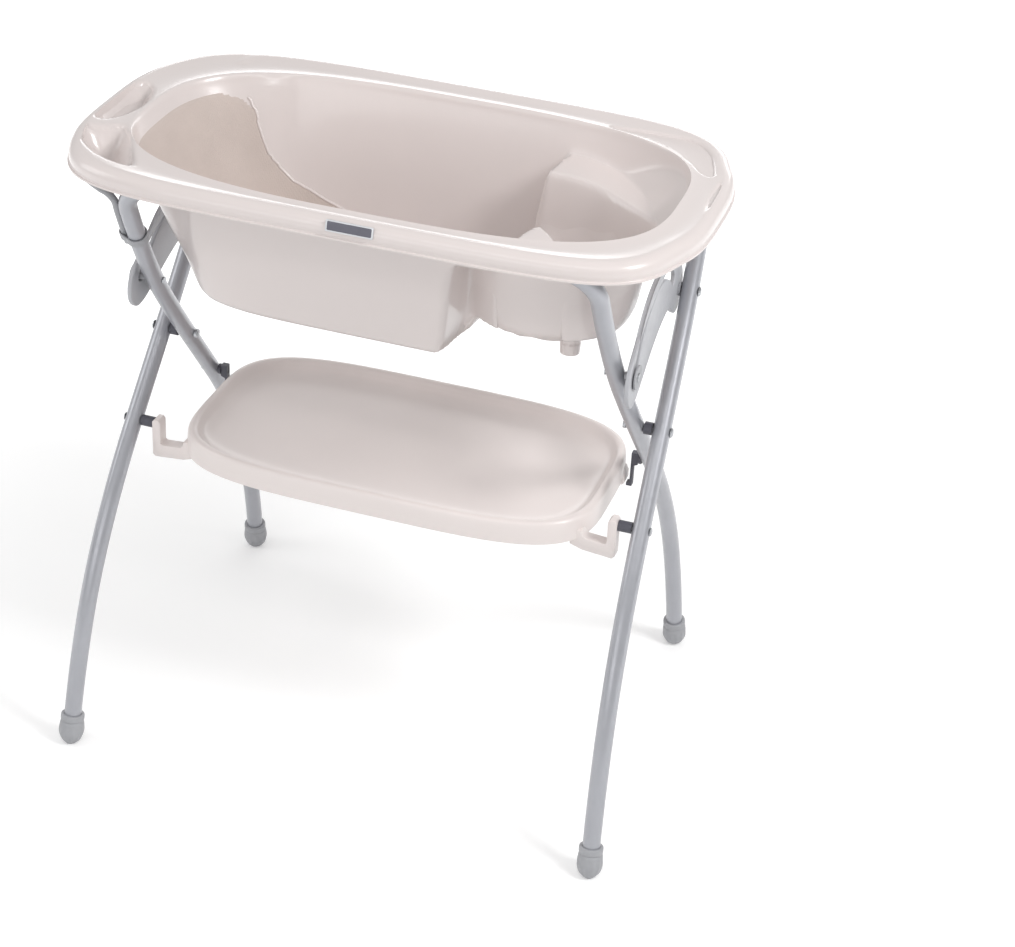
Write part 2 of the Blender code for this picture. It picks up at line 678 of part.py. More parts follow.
SCOOP_EDGE = ((-180, 0.16), (-130, 0.16), (-90, 0.165), (-50, 0.155), (-20, 0.115), (0, 0.095),
              (25, 0.082), (60, 0.084), (90, 0.092), (120, 0.112), (150, 0.15), (180, 0.16))
LEDGE_EDGE = ((-180, 0.40), (-60, 0.30), (-30, 0.17), (0, 0.125), (14, 0.116), (45, 0.122),
              (82, 0.166), (97, 0.190), (112, 0.200), (140, 0.30), (180, 0.40))


def bath_floor(x, y):
    """Height of the inside bottom: deep part, seat scoop, ledge and the slope outside it."""
    dx, dy = x - SEAT_MID[0], y - SEAT_MID[1]
    turn = math.degrees(math.atan2(dy, dx))
    r = math.hypot(dx, dy)
    seat_z = FLOOR_Z + SEAT_RISE
    rise = smooth((r - table(turn, SCOOP_EDGE) + SEAT_LIP) / (1.15 * SEAT_LIP))
    z = FLOOR_Z + (seat_z + (LEDGE_Z - seat_z) * rise - FLOOR_Z) * smooth((x - 0.118) / 0.040)
    past = r - table(turn, LEDGE_EDGE)
    slope = min(LEDGE_Z + past * (LEDGE_PITCH if past > 0.0 else 6.0), RIM_Z - 0.016) - z
    return z + max(slope, 0.0) * smooth((x - 0.175) / 0.035) * smooth((y + 0.06) / 0.06)


def rim_dip(x, y):
    """Soap dishes in the left end of the rim."""
    e1 = math.hypot((x + 0.418) / 0.026, (y + 0.002) / 0.070)
    u = (x + 0.376) * 0.80 - (y + 0.128) * 0.60
    v = (x + 0.376) * 0.60 + (y + 0.128) * 0.80
    e2 = math.hypot(u / 0.052, v / 0.028)
    return 0.020 * smooth((1.15 - e1) / 0.5) + 0.036 * smooth((1.15 - e2) / 0.7)


def bath_rows():
    """Rings from the lip over the rim, down the wall to the middle of the floor."""
    outs = [(0.0, RIM_Z - LIP), (0.0, RIM_Z - 0.0175), (0.0012, RIM_Z - 0.0110),
            (0.0045, RIM_Z - 0.0050), (0.0100, RIM_Z - 0.0015), (0.0165, RIM_Z)]
    grid = []
    for inset, z in outs:
        row = []
        for t in BATH_T:
            c, s = super_dir(t, rim_power(t))
            row.append((BATH_CX + c * (BATH_A - inset), BATH_CY + s * (BATH_B - inset), z))
        grid.append(row)
    base = grid[-1]

    def mouth(t, v):
        c, s = super_dir(t, 3.0 + 0.2 * v)
        a = OPEN_A + (FLOOR_A - OPEN_A) * v
        b = OPEN_B + (FLOOR_B - OPEN_B) * v
        return OPEN_CX + (FLOOR_CX - OPEN_CX) * v + c * a, s * b
    for w, drop in ((0.22, 0.0), (0.42, 0.0), (0.62, 0.0), (0.82, 0.0), (1.0, 0.0015)):
        row = []
        for i, t in enumerate(BATH_T):
            mx, my = mouth(t, 0.0)
            x = base[i][0] + (mx - base[i][0]) * w
            y = base[i][1] + (my - base[i][1]) * w
            row.append((x, y, RIM_Z - drop - rim_dip(x, y)))
        grid.append(row)
    walls = ((0.05, 0.0055), (0.10, 0.0150), (0.25, 0.0460), (0.40, 0.0780), (0.55, 0.1100),
             (0.70, 0.1420), (0.84, 0.1740), (0.93, 0.1950), (1.0, 0.2070))
    for v, drop in walls:
        row = []
        for t in BATH_T:
            x, y = mouth(t, v)
            row.append((x, y, soft_max(RIM_Z - drop, bath_floor(x, y), 0.012)))
        grid.append(row)
    for f in (0.94, 0.88, 0.82, 0.76, 0.68, 0.58, 0.47, 0.38, 0.28, 0.14):
        row = []
        for t in BATH_T:
            x, y = mouth(t, 1.0)
            x = FLOOR_CX + (x - FLOOR_CX) * f
            y = y * f
            row.append((x, y, soft_max(FLOOR_Z, bath_floor(x, y), 0.004)))
        grid.append(row)
    return grid


def grid_normals(grid):
    """Outward normals of the ring grid, from its neighbours."""
    arr = np.array(grid)
    along = np.roll(arr, -1, axis=1) - np.roll(arr, 1, axis=1)
    down = np.empty_like(arr)
    down[1:-1] = arr[2:] - arr[:-2]
    down[0] = arr[1] - arr[0]
    down[-1] = arr[-1] - arr[-2]
    norm = np.cross(along, down)
    norm /= np.linalg.norm(norm, axis=2, keepdims=True)
    norm[0, :, 2] = 0.0
    norm[0] /= np.linalg.norm(norm[0], axis=1, keepdims=True)
    return arr, norm


BATH_GRID, BATH_NORM = grid_normals(bath_rows())
if BATH_NORM[8, 0, 2] < 0.0:
    BATH_NORM = -BATH_NORM


def build_bath():
    count = len(BATH_T)
    under = BATH_GRID - BATH_NORM * SHELL
    verts = [tuple(p) for row in BATH_GRID for p in row] + [tuple(p) for row in under for p in row]
    rows = len(BATH_GRID)
    off = rows * count
    faces = []
    for j in range(rows - 1):
        for i in range(count):
            k = (i + 1) % count
            a, b, c, d = j * count + i, j * count + k, (j + 1) * count + k, (j + 1) * count + i
            faces.append((a, b, c, d))
            faces.append((off + d, off + c, off + b, off + a))
    for i in range(count):
        k = (i + 1) % count
        faces.append((i, k, off + k, off + i))
    for base, z in ((0, FLOOR_Z), (off, FLOOR_Z - SHELL)):
        mid = len(verts)
        verts.append((FLOOR_CX, 0.0, z + 0.001))
        last = base + (rows - 1) * count
        for i in range(count):
            faces.append((last + i, last + (i + 1) % count, mid))
    ob = make("bath_tub", verts, faces, BATHP, angle=60.0)
    spot = Vector((DRAIN[0], DRAIN[1], FLOOR_Z + SEAT_RISE))
    boolean(ob, cutter("bath_drain_hole", [rod_cut(spot, (0, 0, 1), 0.0102, 0.012)]),
            "DIFFERENCE")
    return ob


build_bath()


def patch(name, rows, cols, lift, thick, mat):
    """A thin skin lying on part of the bath surface."""
    verts, faces = [], []
    nr, nc = len(rows), len(cols)
    for level in (lift, lift + thick):
        for j in rows:
            for i in cols:
                verts.append(tuple(BATH_GRID[j][i] + BATH_NORM[j][i] * level))
    off = nr * nc
    for j in range(nr - 1):
        for i in range(nc - 1):
            a, b, c, d = j * nc + i, j * nc + i + 1, (j + 1) * nc + i + 1, (j + 1) * nc + i
            faces.append((a, b, c, d))
            faces.append((off + d, off + c, off + b, off + a))
    edge = [(j * nc, (j + 1) * nc) for j in range(nr - 1)]
    edge += [((nr - 1) * nc + i, (nr - 1) * nc + i + 1) for i in range(nc - 1)]
    edge += [((j + 1) * nc + nc - 1, j * nc + nc - 1) for j in range(nr - 1)]
    edge += [(i + 1, i) for i in range(nc - 1)]
    for a, b in edge:
        faces.append((a, b, off + b, off + a))
    return make(name, verts, faces, mat, angle=50.0)


patch("backrest_grip_pad", range(13, 22), range(23, 43), SEAT + 0.0001, 0.0012, PADP)
patch("front_badge", range(2, 5), (48, 49), SEAT, 0.0010, PLATE)

# drain: spout under the seat, plug from above
seat_top = FLOOR_Z + SEAT_RISE
spout_top = seat_top - SHELL - 0.0004
lathe("drain_spout", [(0.0105, spout_top), (0.0180, spout_top), (0.0180, spout_top - 0.003),
                      (0.0135, spout_top - 0.004), (0.0135, spout_top - 0.040),
                      (0.0145, spout_top - 0.043), (0.0135, spout_top - 0.058),
                      (0.0105, spout_top - 0.058)], (DRAIN[0], DRAIN[1], 0.0), (0, 0, 1), BATHP)
plug = seat_top + 0.0009
lathe("drain_plug", [(0.0, plug - 0.014), (0.0085, plug - 0.014), (0.0094, plug), (0.0160, plug),
                     (0.0155, plug + 0.0028), (0.0045, plug + 0.0036), (0.0040, plug + 0.012),
                     (0.0065, plug + 0.014), (0.0, plug + 0.0165)],
      (DRAIN[0], DRAIN[1], 0.0), (0, 0, 1), PLUGP)


# ------------------------------------------------------------------ rail at the left end
def rail_line():
    """Up beside the inner left leg, then back under the left end of the rim."""
    side = TUBE_R + SEAT + RAIL_R
    pts = []
    for s in (0.268, 0.300, 0.335, 0.356):
        p = leg(s, INNER_X, -1)
        pts.append(Vector((-p.x - side, p.y, p.z)))
    z = RIM_Z - LIP - RAIL_R - 0.006
    last = pts[-1]
    for x, y, dz in ((last.x - 0.006, last.y - 0.008, z - 0.003), (last.x - 0.020, last.y - 0.004, z),
                     (-0.395, -0.180, z), (-0.420, -0.140, z), (-0.436, -0.090, z),
                     (-0.444, -0.030, z), (-0.449, 0.030, z + 0.001), (-0.455, 0.085, z + 0.002),
                     (-0.460, 0.120, z + 0.003)):
        pts.append(Vector((x, y, dz)))
    return pts


RAIL = rail_line()
make("towel_rail", *sweep_mesh(RAIL, RAIL_R, 0.0, 10, (0.0, 1.0, 0.2)), GREY)
cap_dir = (RAIL[-1] - RAIL[-2]).normalized()
lathe("rail_end_cap", [(0.0, 0.004), (0.0058, 0.003), (0.0068, 0.0), (0.0068, -0.026),
                       (RAIL_R + 0.0004, -0.026), (RAIL_R + 0.0004, SEAT), (0.0, SEAT)],
      RAIL[-1], cap_dir, DARK, 12)


def build_clip():
    """Band round the leg and the rail beside it."""
    at = leg(RAIL_S, INNER_X, -1)
    at = Vector((-at.x, at.y, at.z))
    along = leg_dir(RAIL_S, INNER_X, -1)
    along = Vector((-along.x, along.y, along.z))
    out = (Vector((-1, 0, 0)) - along * Vector((-1, 0, 0)).dot(along)).normalized()
    across = along.cross(out)
    gap = TUBE_R + SEAT + RAIL_R
    lean = math.acos((TUBE_R - RAIL_R) / gap)

    def loop(grow):
        pts = []
        for k in range(17):
            ang = lean + (math.tau - 2 * lean) * k / 16
            pts.append(((TUBE_R + grow) * math.cos(ang), (TUBE_R + grow) * math.sin(ang)))
        for k in range(9):
            ang = -lean + 2 * lean * k / 8
            pts.append((gap + (RAIL_R + grow) * math.cos(ang), (RAIL_R + grow) * math.sin(ang)))
        return pts
    ins, outs = loop(0.0010), loop(0.0026)
    count = len(ins)
    verts, faces = [], []
    for pts in (ins, outs):
        for level in (-0.006, 0.006):
            verts += [at + out * u + across * v + along * level for u, v in pts]
    for i in range(count):
        j = (i + 1) % count
        faces.append((i, j, count + j, count + i))
        faces.append((2 * count + i, 3 * count + i, 3 * count + j, 2 * count + j))
        faces.append((i, 2 * count + i, 2 * count + j, j))
        faces.append((count + i, count + j, 3 * count + j, 3 * count + i))
    return make("rail_clip", verts, faces, GREY)


build_clip()
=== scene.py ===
"""Looks for the folding baby-bath stand: moulded bath, grip pad, painted tubes, links and tray.

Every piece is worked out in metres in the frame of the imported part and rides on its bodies.
"""
import json
import math

import bmesh
import bpy
import numpy as np
from mathutils import Matrix, Vector


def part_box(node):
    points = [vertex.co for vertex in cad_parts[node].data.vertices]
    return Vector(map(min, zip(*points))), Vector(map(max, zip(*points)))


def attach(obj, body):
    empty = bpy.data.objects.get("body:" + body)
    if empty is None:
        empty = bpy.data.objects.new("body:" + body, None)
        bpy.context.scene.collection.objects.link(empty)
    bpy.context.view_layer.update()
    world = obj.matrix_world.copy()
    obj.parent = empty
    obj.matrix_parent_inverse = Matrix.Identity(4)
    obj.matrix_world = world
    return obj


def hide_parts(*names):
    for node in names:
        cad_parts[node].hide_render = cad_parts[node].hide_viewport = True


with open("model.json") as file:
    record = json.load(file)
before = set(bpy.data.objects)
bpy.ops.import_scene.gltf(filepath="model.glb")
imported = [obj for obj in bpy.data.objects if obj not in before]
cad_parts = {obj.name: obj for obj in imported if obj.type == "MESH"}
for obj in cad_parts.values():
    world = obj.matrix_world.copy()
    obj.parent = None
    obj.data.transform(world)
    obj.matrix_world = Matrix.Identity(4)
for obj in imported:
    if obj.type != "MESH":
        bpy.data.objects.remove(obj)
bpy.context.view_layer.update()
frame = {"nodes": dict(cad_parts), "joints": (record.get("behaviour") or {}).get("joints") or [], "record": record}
JOINTS = {joint["name"]: joint for joint in frame["joints"]}
NODES = frame["nodes"]
TAU = 2.0 * math.pi
HANDS = (("right", 1.0), ("left", -1.0))

# ------------------------------------------------------------------ sizes, in metres
TUBE_R = 0.0125              # frame tube, outside radius
FRAME_GAP = 0.0125           # free space between outer and inner leg
LEG_X = 0.375                # outer leg at the cross pivot
INNER_X = LEG_X - 2.0 * TUBE_R - FRAME_GAP
SPLAY = 0.037                # sideways spread per metre of leg
LEG_DOWN = 0.6356            # leg length, cross pivot to floor
BAR_UP = 0.401               # leg length, cross pivot to top bar
BEND_R = 0.058               # corner between leg and bar
SOLE = 0.0125                # rubber under the tube end
PIVOT_Z = JOINTS["outer_fold"]["pos_m"][2]
# lean of a leg from the vertical, in degrees, at lengths along it from the cross pivot
LEG_LEANS = ((-0.66, 9.0), (-0.62, 9.97), (-0.45, 19.32), (-0.30, 31.33), (-0.15, 40.63),
             (0.0, 40.61), (0.12, 38.84), (0.25, 30.7), (0.45, 21.5))
LEG_LOW, LEG_HIGH = -0.66, 0.46
LEG_STEPS = 1120
RIM_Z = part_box("bath_tub")[1].z
BATH_SHELL = 0.003
BATH_HALF = (0.440, 0.250)   # rim, half length and half width
BATH_MID = (-0.013, 0.006)
MOUTH_HALF = (0.3775, 0.2035)
MOUTH_X = -0.0075
FLOOR_HALF = (0.300, 0.155)
FLOOR_X = 0.030
LIP = 0.0265                 # height of the rolled rim
DEPTH = 0.2115               # rim top to deep floor
SEAT_RISE = 0.040
LEDGE_DROP = 0.0565
SEAT_MID = (0.222, 0.008)


# ------------------------------------------------------------------ small formulas
def smooth(x):
    """Zero below 0, one above 1, and three x squared less two x cubed between."""
    x = np.clip(x, 0.0, 1.0)
    return x * x * (3.0 - 2.0 * x)


def soft_max(a, b, width):
    """The larger of two heights, with a round fillet where they cross."""
    h = np.maximum(width - np.abs(a - b), 0.0) / width
    return np.maximum(a, b) + h * h * width * 0.25


def spline(points, per, closed=False):
    """Catmull-Rom curve through points, per samples to each span."""
    pts = np.asarray(points, float)
    if closed:
        pts = np.vstack([pts[-1:], pts, pts[:2]])
    else:
        pts = np.vstack([2 * pts[:1] - pts[1:2], pts, 2 * pts[-1:] - pts[-2:-1]])
    t = np.arange(per)[:, None] / per
    spans = []
    for i in range(1, len(pts) - 2):
        p0, p1, p2, p3 = pts[i - 1:i + 3]
        spans.append(0.5 * (2 * p1 + (p2 - p0) * t + (2 * p0 - 5 * p1 + 4 * p2 - p3) * t ** 2
                            + (3 * p1 - p0 - 3 * p2 + p3) * t ** 3))
    out = np.vstack(spans)
    return out if closed else np.vstack([out, pts[-2:-1]])


def inside(x, y, outline):
    """Distance to a closed outline, positive inside and negative outside."""
    pts = np.asarray(outline, float)
    near = np.full(x.shape, 1e9)
    inner = np.zeros(x.shape, bool)
    for (ax, ay), (bx, by) in zip(pts, np.roll(pts, -1, axis=0)):
        ex, ey = bx - ax, by - ay
        s = np.clip(((x - ax) * ex + (y - ay) * ey) / (ex * ex + ey * ey), 0.0, 1.0)
        near = np.minimum(near, np.hypot(x - ax - s * ex, y - ay - s * ey))
        cross = (ay > y) != (by > y)
        side = ax + (y - ay) * ex / (ey if abs(ey) > 1e-9 else 1e-9)
        inner ^= cross & (x < side)
    return np.where(inner, near, -near)


def unit(v):
    """Vectors brought to length one."""
    return v / np.linalg.norm(v, axis=-1, keepdims=True)


# ------------------------------------------------------------------ mesh making
def piece(name, verts, faces, body, finish, slot, stands_for=(), sharp=40.0):
    """A finished piece: mesh in place, smooth with crisp edges, riding on its body."""
    mesh = bpy.data.meshes.new(name)
    mesh.from_pydata(np.asarray(verts, float).tolist(), [], [list(map(int, f)) for f in faces])
    mesh.update()
    bm = bmesh.new()
    bm.from_mesh(mesh)
    bmesh.ops.remove_doubles(bm, verts=bm.verts, dist=1e-7)
    bmesh.ops.recalc_face_normals(bm, faces=bm.faces)
    bm.to_mesh(mesh)
    bm.free()
    mesh.shade_smooth()
    mesh.set_sharp_from_angle(angle=math.radians(sharp))
    ob = bpy.data.objects.new(name, mesh)
    bpy.context.scene.collection.objects.link(ob)
    mesh.materials.append(finish)
    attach(ob, body)
    if stands_for:
        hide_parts(*stands_for)


def grid_faces(rows, cols, wrap_cols=True, wrap_rows=False, start=0):
    """Quads over a grid of rows by cols vertices, numbered row by row."""
    j = np.arange(rows if wrap_rows else rows - 1)
    i = np.arange(cols if wrap_cols else cols - 1)
    jj, ii = np.meshgrid(j, i, indexing="ij")
    j2, i2 = (jj + 1) % rows, (ii + 1) % cols
    quads = np.stack([jj * cols + ii, jj * cols + i2, j2 * cols + i2, j2 * cols + ii], -1)
    return (quads.reshape(-1, 4) + start).tolist()


def frames_along(path, up):
    """Two unit vectors square to a path at each point, carried along it without twist."""
    tang = unit(np.gradient(path, axis=0))
    normal = np.empty_like(path)
    n = np.asarray(up, float)
    for k, t in enumerate(tang):
        n = n - t * n.dot(t)
        n = n / np.linalg.norm(n)
        normal[k] = n
    return tang, normal, np.cross(tang, normal)


def tube_shape(path, radius, around, up=(0.0, 1.0, 0.0)):
    """Circle of the given radius (one number, or one per point) carried along a path."""
    path = np.asarray(path, float)
    _, n, b = frames_along(path, up)
    a = TAU * np.arange(around) / around
    r = np.broadcast_to(np.asarray(radius, float), len(path))[:, None, None]
    ring = n[:, None] * np.cos(a)[None, :, None] + b[:, None] * np.sin(a)[None, :, None]
    verts = (path[:, None] + ring * r).reshape(-1, 3)
    faces = grid_faces(len(path), around)
    faces.append(list(range(around)))
    faces.append(list(range(len(verts) - around, len(verts)))[::-1])
    return verts, faces


def turned_shape(profile, base, axis, around=48):
    """Profile of (radius, distance) pairs turned about an axis; both ends lie on the axis."""
    axis = unit(np.asarray(axis, float))
    ref = np.array((0.0, 0.0, 1.0)) if abs(axis[2]) < 0.9 else np.array((0.0, 1.0, 0.0))
    one = unit(ref - axis * ref.dot(axis))
    two = np.cross(axis, one)
    a = TAU * np.arange(around) / around
    ring = one[None] * np.cos(a)[:, None] + two[None] * np.sin(a)[:, None]
    prof = np.asarray(profile, float)
    verts = (np.asarray(base, float) + prof[:, 1, None, None] * axis
             + prof[:, 0, None, None] * ring[None])
    return verts.reshape(-1, 3), grid_faces(len(prof), around)


def plate_shape(outline, holes, origin, e_u, e_v, e_n, low, high, bevel=0.0012):
    """Flat plate cut to an outline with holes, drawn out along a normal, edges rounded.

    Each loop is moved in by the bevel at both faces, a quarter round in three steps between.
    """
    origin, e_u, e_v, e_n = (np.asarray(v, float) for v in (origin, e_u, e_v, e_n))
    bm = bmesh.new()
    caps = {low: [], high: []}
    for k, loop in enumerate([outline] + list(holes)):
        loop = np.asarray(loop, float)
        prev, nxt = np.roll(loop, 1, axis=0), np.roll(loop, -1, axis=0)
        edge = unit(nxt - prev)
        out = np.stack([edge[:, 1], -edge[:, 0]], -1)
        area = np.sum(loop[:, 0] * nxt[:, 1] - nxt[:, 0] * loop[:, 1])
        out *= math.copysign(1.0, area) * (1.0 if k == 0 else -1.0)
        steps = []
        for q in (1.0, 0.66, 0.33, 0.0):
            ang = q * math.pi / 2.0
            steps.append((bevel * (1.0 - math.cos(ang)), bevel * (1.0 - math.sin(ang))))
        levels = [(i, low + h) for i, h in steps] + [(i, high - h) for i, h in steps[::-1]]
        rows = []
        for inset, level in levels:
            flat = loop - out * inset
            pts = origin + flat[:, :1] * e_u + flat[:, 1:] * e_v + e_n * level
            rows.append([bm.verts.new(p) for p in pts])
        for one, two in zip(rows[:-1], rows[1:]):
            for i in range(len(loop)):
                j = (i + 1) % len(loop)
                bm.faces.new((one[i], one[j], two[j], two[i]))
        for key, row in ((low, rows[0]), (high, rows[-1])):
            for i in range(len(loop)):
                caps[key].append(bm.edges.get((row[i], row[(i + 1) % len(loop)])))
    for edges in caps.values():
        bmesh.ops.triangle_fill(bm, edges=edges, use_beauty=True)
    bm.verts.index_update()
    verts = [tuple(v.co) for v in bm.verts]
    faces = [[v.index for v in f.verts] for f in bm.faces]
    bm.free()
    return verts, faces


# ------------------------------------------------------------------ finishes
def finish(name, colour, rough, metal=0.0, coat=0.0, coat_rough=0.1, vary=0.03, cloud=9.0,
           grain=900.0, bump=0.02, depth=0.0002, rough_vary=0.06, stretch=(1.0, 1.0, 1.0)):
    """Moulded or painted surface.

    Colour drifts between two near shades over a large noise, roughness over a middle one, and
    a fine noise gives the grain through a bump.
    """
    mat = bpy.data.materials.new(name)
    mat.use_nodes = True
    tree = mat.node_tree
    bsdf = tree.nodes["Principled BSDF"]
    bsdf.inputs["Metallic"].default_value = metal
    bsdf.inputs["Coat Weight"].default_value = coat
    bsdf.inputs["Coat Roughness"].default_value = coat_rough
    coords = tree.nodes.new("ShaderNodeTexCoord")
    mapping = tree.nodes.new("ShaderNodeMapping")
    mapping.inputs["Scale"].default_value = stretch
    tree.links.new(coords.outputs["Object"], mapping.inputs["Vector"])

    def noise(scale, detail):
        node = tree.nodes.new("ShaderNodeTexNoise")
        node.inputs["Scale"].default_value = scale
        node.inputs["Detail"].default_value = detail
        tree.links.new(mapping.outputs["Vector"], node.inputs["Vector"])
        return node.outputs["Fac"]

    ramp = tree.nodes.new("ShaderNodeValToRGB")
    dark = [max(c * (1.0 - vary), 0.0) for c in colour]
    light = [min(c * (1.0 + vary), 1.0) for c in colour]
    ramp.color_ramp.elements[0].position = 0.35
    ramp.color_ramp.elements[0].color = (*dark, 1.0)
    ramp.color_ramp.elements[1].position = 0.65
    ramp.color_ramp.elements[1].color = (*light, 1.0)
    tree.links.new(noise(cloud, 4.0), ramp.inputs["Fac"])
    tree.links.new(ramp.outputs["Color"], bsdf.inputs["Base Color"])
    spread = tree.nodes.new("ShaderNodeMapRange")
    spread.inputs["From Min"].default_value = 0.3
    spread.inputs["From Max"].default_value = 0.7
    spread.inputs["To Min"].default_value = max(rough - rough_vary, 0.02)
    spread.inputs["To Max"].default_value = min(rough + rough_vary, 1.0)
    tree.links.new(noise(cloud * 6.0, 6.0), spread.inputs["Value"])
    tree.links.new(spread.outputs["Result"], bsdf.inputs["Roughness"])
    relief = tree.nodes.new("ShaderNodeBump")
    relief.inputs["Strength"].default_value = bump
    relief.inputs["Distance"].default_value = depth
    tree.links.new(noise(grain, 3.0), relief.inputs["Height"])
    tree.links.new(relief.outputs["Normal"], bsdf.inputs["Normal"])
    return mat


def grip_finish():
    """Soft-touch skin: cells about two millimetres across, raised in the middle of each."""
    mat = finish("soft_grip_skin", (0.590, 0.510, 0.470), 0.78, vary=0.03, cloud=14.0)
    tree = mat.node_tree
    relief = next(n for n in tree.nodes if n.type == "BUMP")
    mapping = next(n for n in tree.nodes if n.type == "MAPPING")
    cells = tree.nodes.new("ShaderNodeTexVoronoi")
    cells.inputs["Scale"].default_value = 420.0
    cells.inputs["Randomness"].default_value = 0.35
    tree.links.new(mapping.outputs["Vector"], cells.inputs["Vector"])
    lift = tree.nodes.new("ShaderNodeMapRange")
    lift.inputs["From Max"].default_value = 0.6
    lift.inputs["To Min"].default_value = 1.0
    lift.inputs["To Max"].default_value = 0.0
    tree.links.new(cells.outputs["Distance"], lift.inputs["Value"])
    tree.links.new(lift.outputs["Result"], relief.inputs["Height"])
    relief.inputs["Strength"].default_value = 0.35
    relief.inputs["Distance"].default_value = 0.0006
    return mat


PEARL = finish("pearl_bath_plastic", (0.722, 0.656, 0.638), 0.30, coat=0.55, coat_rough=0.14,
               vary=0.010, cloud=4.0, grain=1400.0, bump=0.015, rough_vary=0.008)
TRAY_PLASTIC = finish("pearl_tray_plastic", (0.800, 0.732, 0.710), 0.38, coat=0.3,
                      coat_rough=0.18, vary=0.010, cloud=5.0, grain=1100.0, bump=0.03,
                      rough_vary=0.015)
GRIP = grip_finish()
SILVER = finish("silver_tube_paint", (0.400, 0.407, 0.438), 0.34, metal=0.45, coat=0.35,
                coat_rough=0.18, vary=0.03, cloud=16.0, grain=2200.0, bump=0.05)
FOOT_GREY = finish("foot_grey_plastic", (0.375, 0.380, 0.400), 0.46, vary=0.04, cloud=30.0,
                   grain=1600.0, bump=0.10)
LINK_GREY = finish("link_grey_plastic", (0.47, 0.475, 0.50), 0.40, vary=0.03, cloud=20.0,
                   grain=1500.0, bump=0.10)
CHARCOAL = finish("charcoal_plastic", (0.075, 0.075, 0.095), 0.45, vary=0.10, cloud=40.0,
                  grain=1500.0, bump=0.12)
ZINC = finish("zinc_plate", (0.42, 0.43, 0.45), 0.30, metal=1.0, vary=0.06, cloud=60.0,
              grain=2600.0, bump=0.08, stretch=(1.0, 0.3, 1.0))
PLATE = finish("satin_badge_plate", (0.60, 0.61, 0.63), 0.34, metal=0.5, vary=0.02, cloud=40.0,
               grain=2400.0, bump=0.05, stretch=(0.1, 1.0, 1.0))
BADGE_INK = finish("badge_field", (0.12, 0.12, 0.15), 0.42, vary=0.06, cloud=60.0,
                   grain=2400.0, bump=0.05)
PLUG = finish("plug_rubber_skin", (0.66, 0.63, 0.61), 0.6, vary=0.03, cloud=50.0,
              grain=1800.0, bump=0.12)

CAD_FINISH = {"painted_steel": SILVER, "zinc_fastener": ZINC, "link_plastic": LINK_GREY,
              "dark_plastic": CHARCOAL, "grey_plastic": FOOT_GREY, "bath_plastic": PEARL,
              "grip_pad": GRIP, "tray_plastic": TRAY_PLASTIC, "badge_plate": PLATE,
              "plug_rubber": PLUG}
SLOT_OF = {part["node"]: part["material_slot"] for part in frame["record"]["subparts"]}
for node_name, node in NODES.items():
    node.data.materials.clear()
    node.data.materials.append(CAD_FINISH[SLOT_OF[node_name]])


# ------------------------------------------------------------------ tube frames
def leg_table():
    """Leg line: sine and cosine of the lean added up along the length; columns s, y, z."""
    s = np.linspace(LEG_LOW, LEG_HIGH, LEG_STEPS + 1)
    lean = np.radians(np.interp(s, *np.transpose(LEG_LEANS)))
    step = s[1] - s[0]
    mid = 0.5 * (lean[1:] + lean[:-1])
    y = np.concatenate([[0.0], np.cumsum(np.sin(mid) * step)])
    z = np.concatenate([[0.0], np.cumsum(np.cos(mid) * step)])
    zero = int(np.argmin(np.abs(s)))
    return s, y - y[zero], z - z[zero]


LEG_S, LEG_Y, LEG_Z = leg_table()


def leg(s, x0, way):
    """Points on a right-hand leg; way is +1 for the outer frame and -1 for the inner one."""
    s = np.atleast_1d(np.asarray(s, float))
    return np.stack([x0 - SPLAY * s, way * np.interp(s, LEG_S, LEG_Y),
                     PIVOT_Z + np.interp(s, LEG_S, LEG_Z)], -1)


def frame_path(x0, way):
    """Up the right leg, round the corner on a circle, along the bar, and mirrored down."""
    low, top = -LEG_DOWN + SOLE, BAR_UP - BEND_R
    rise = leg(np.linspace(low, top, 90), x0, way)
    tang = unit(leg(top + 0.004, x0, way) - leg(top - 0.004, x0, way))[0]
    inward = np.array((-1.0, 0.0, 0.0))
    turn = math.acos(tang.dot(inward))
    side = unit(inward - tang * inward.dot(tang))
    a = (turn * np.arange(1, 17) / 16)[:, None]
    bend = rise[-1] + tang * BEND_R * np.sin(a) + side * BEND_R * (1.0 - np.cos(a))
    half = np.vstack([rise, bend])
    bar = np.linspace(half[-1], half[-1] * (-1.0, 1.0, 1.0), 12)[1:-1]
    return np.vstack([half, bar, half[::-1] * (-1.0, 1.0, 1.0)])


for side_name, x0, way in (("outer", LEG_X, 1.0), ("inner", INNER_X, -1.0)):
    node = side_name + "_frame_tube"
    piece(side_name + "_frame_skin", *tube_shape(frame_path(x0, way), TUBE_R, 40),
          side_name + "_frame", SILVER, "painted_steel", (node,))


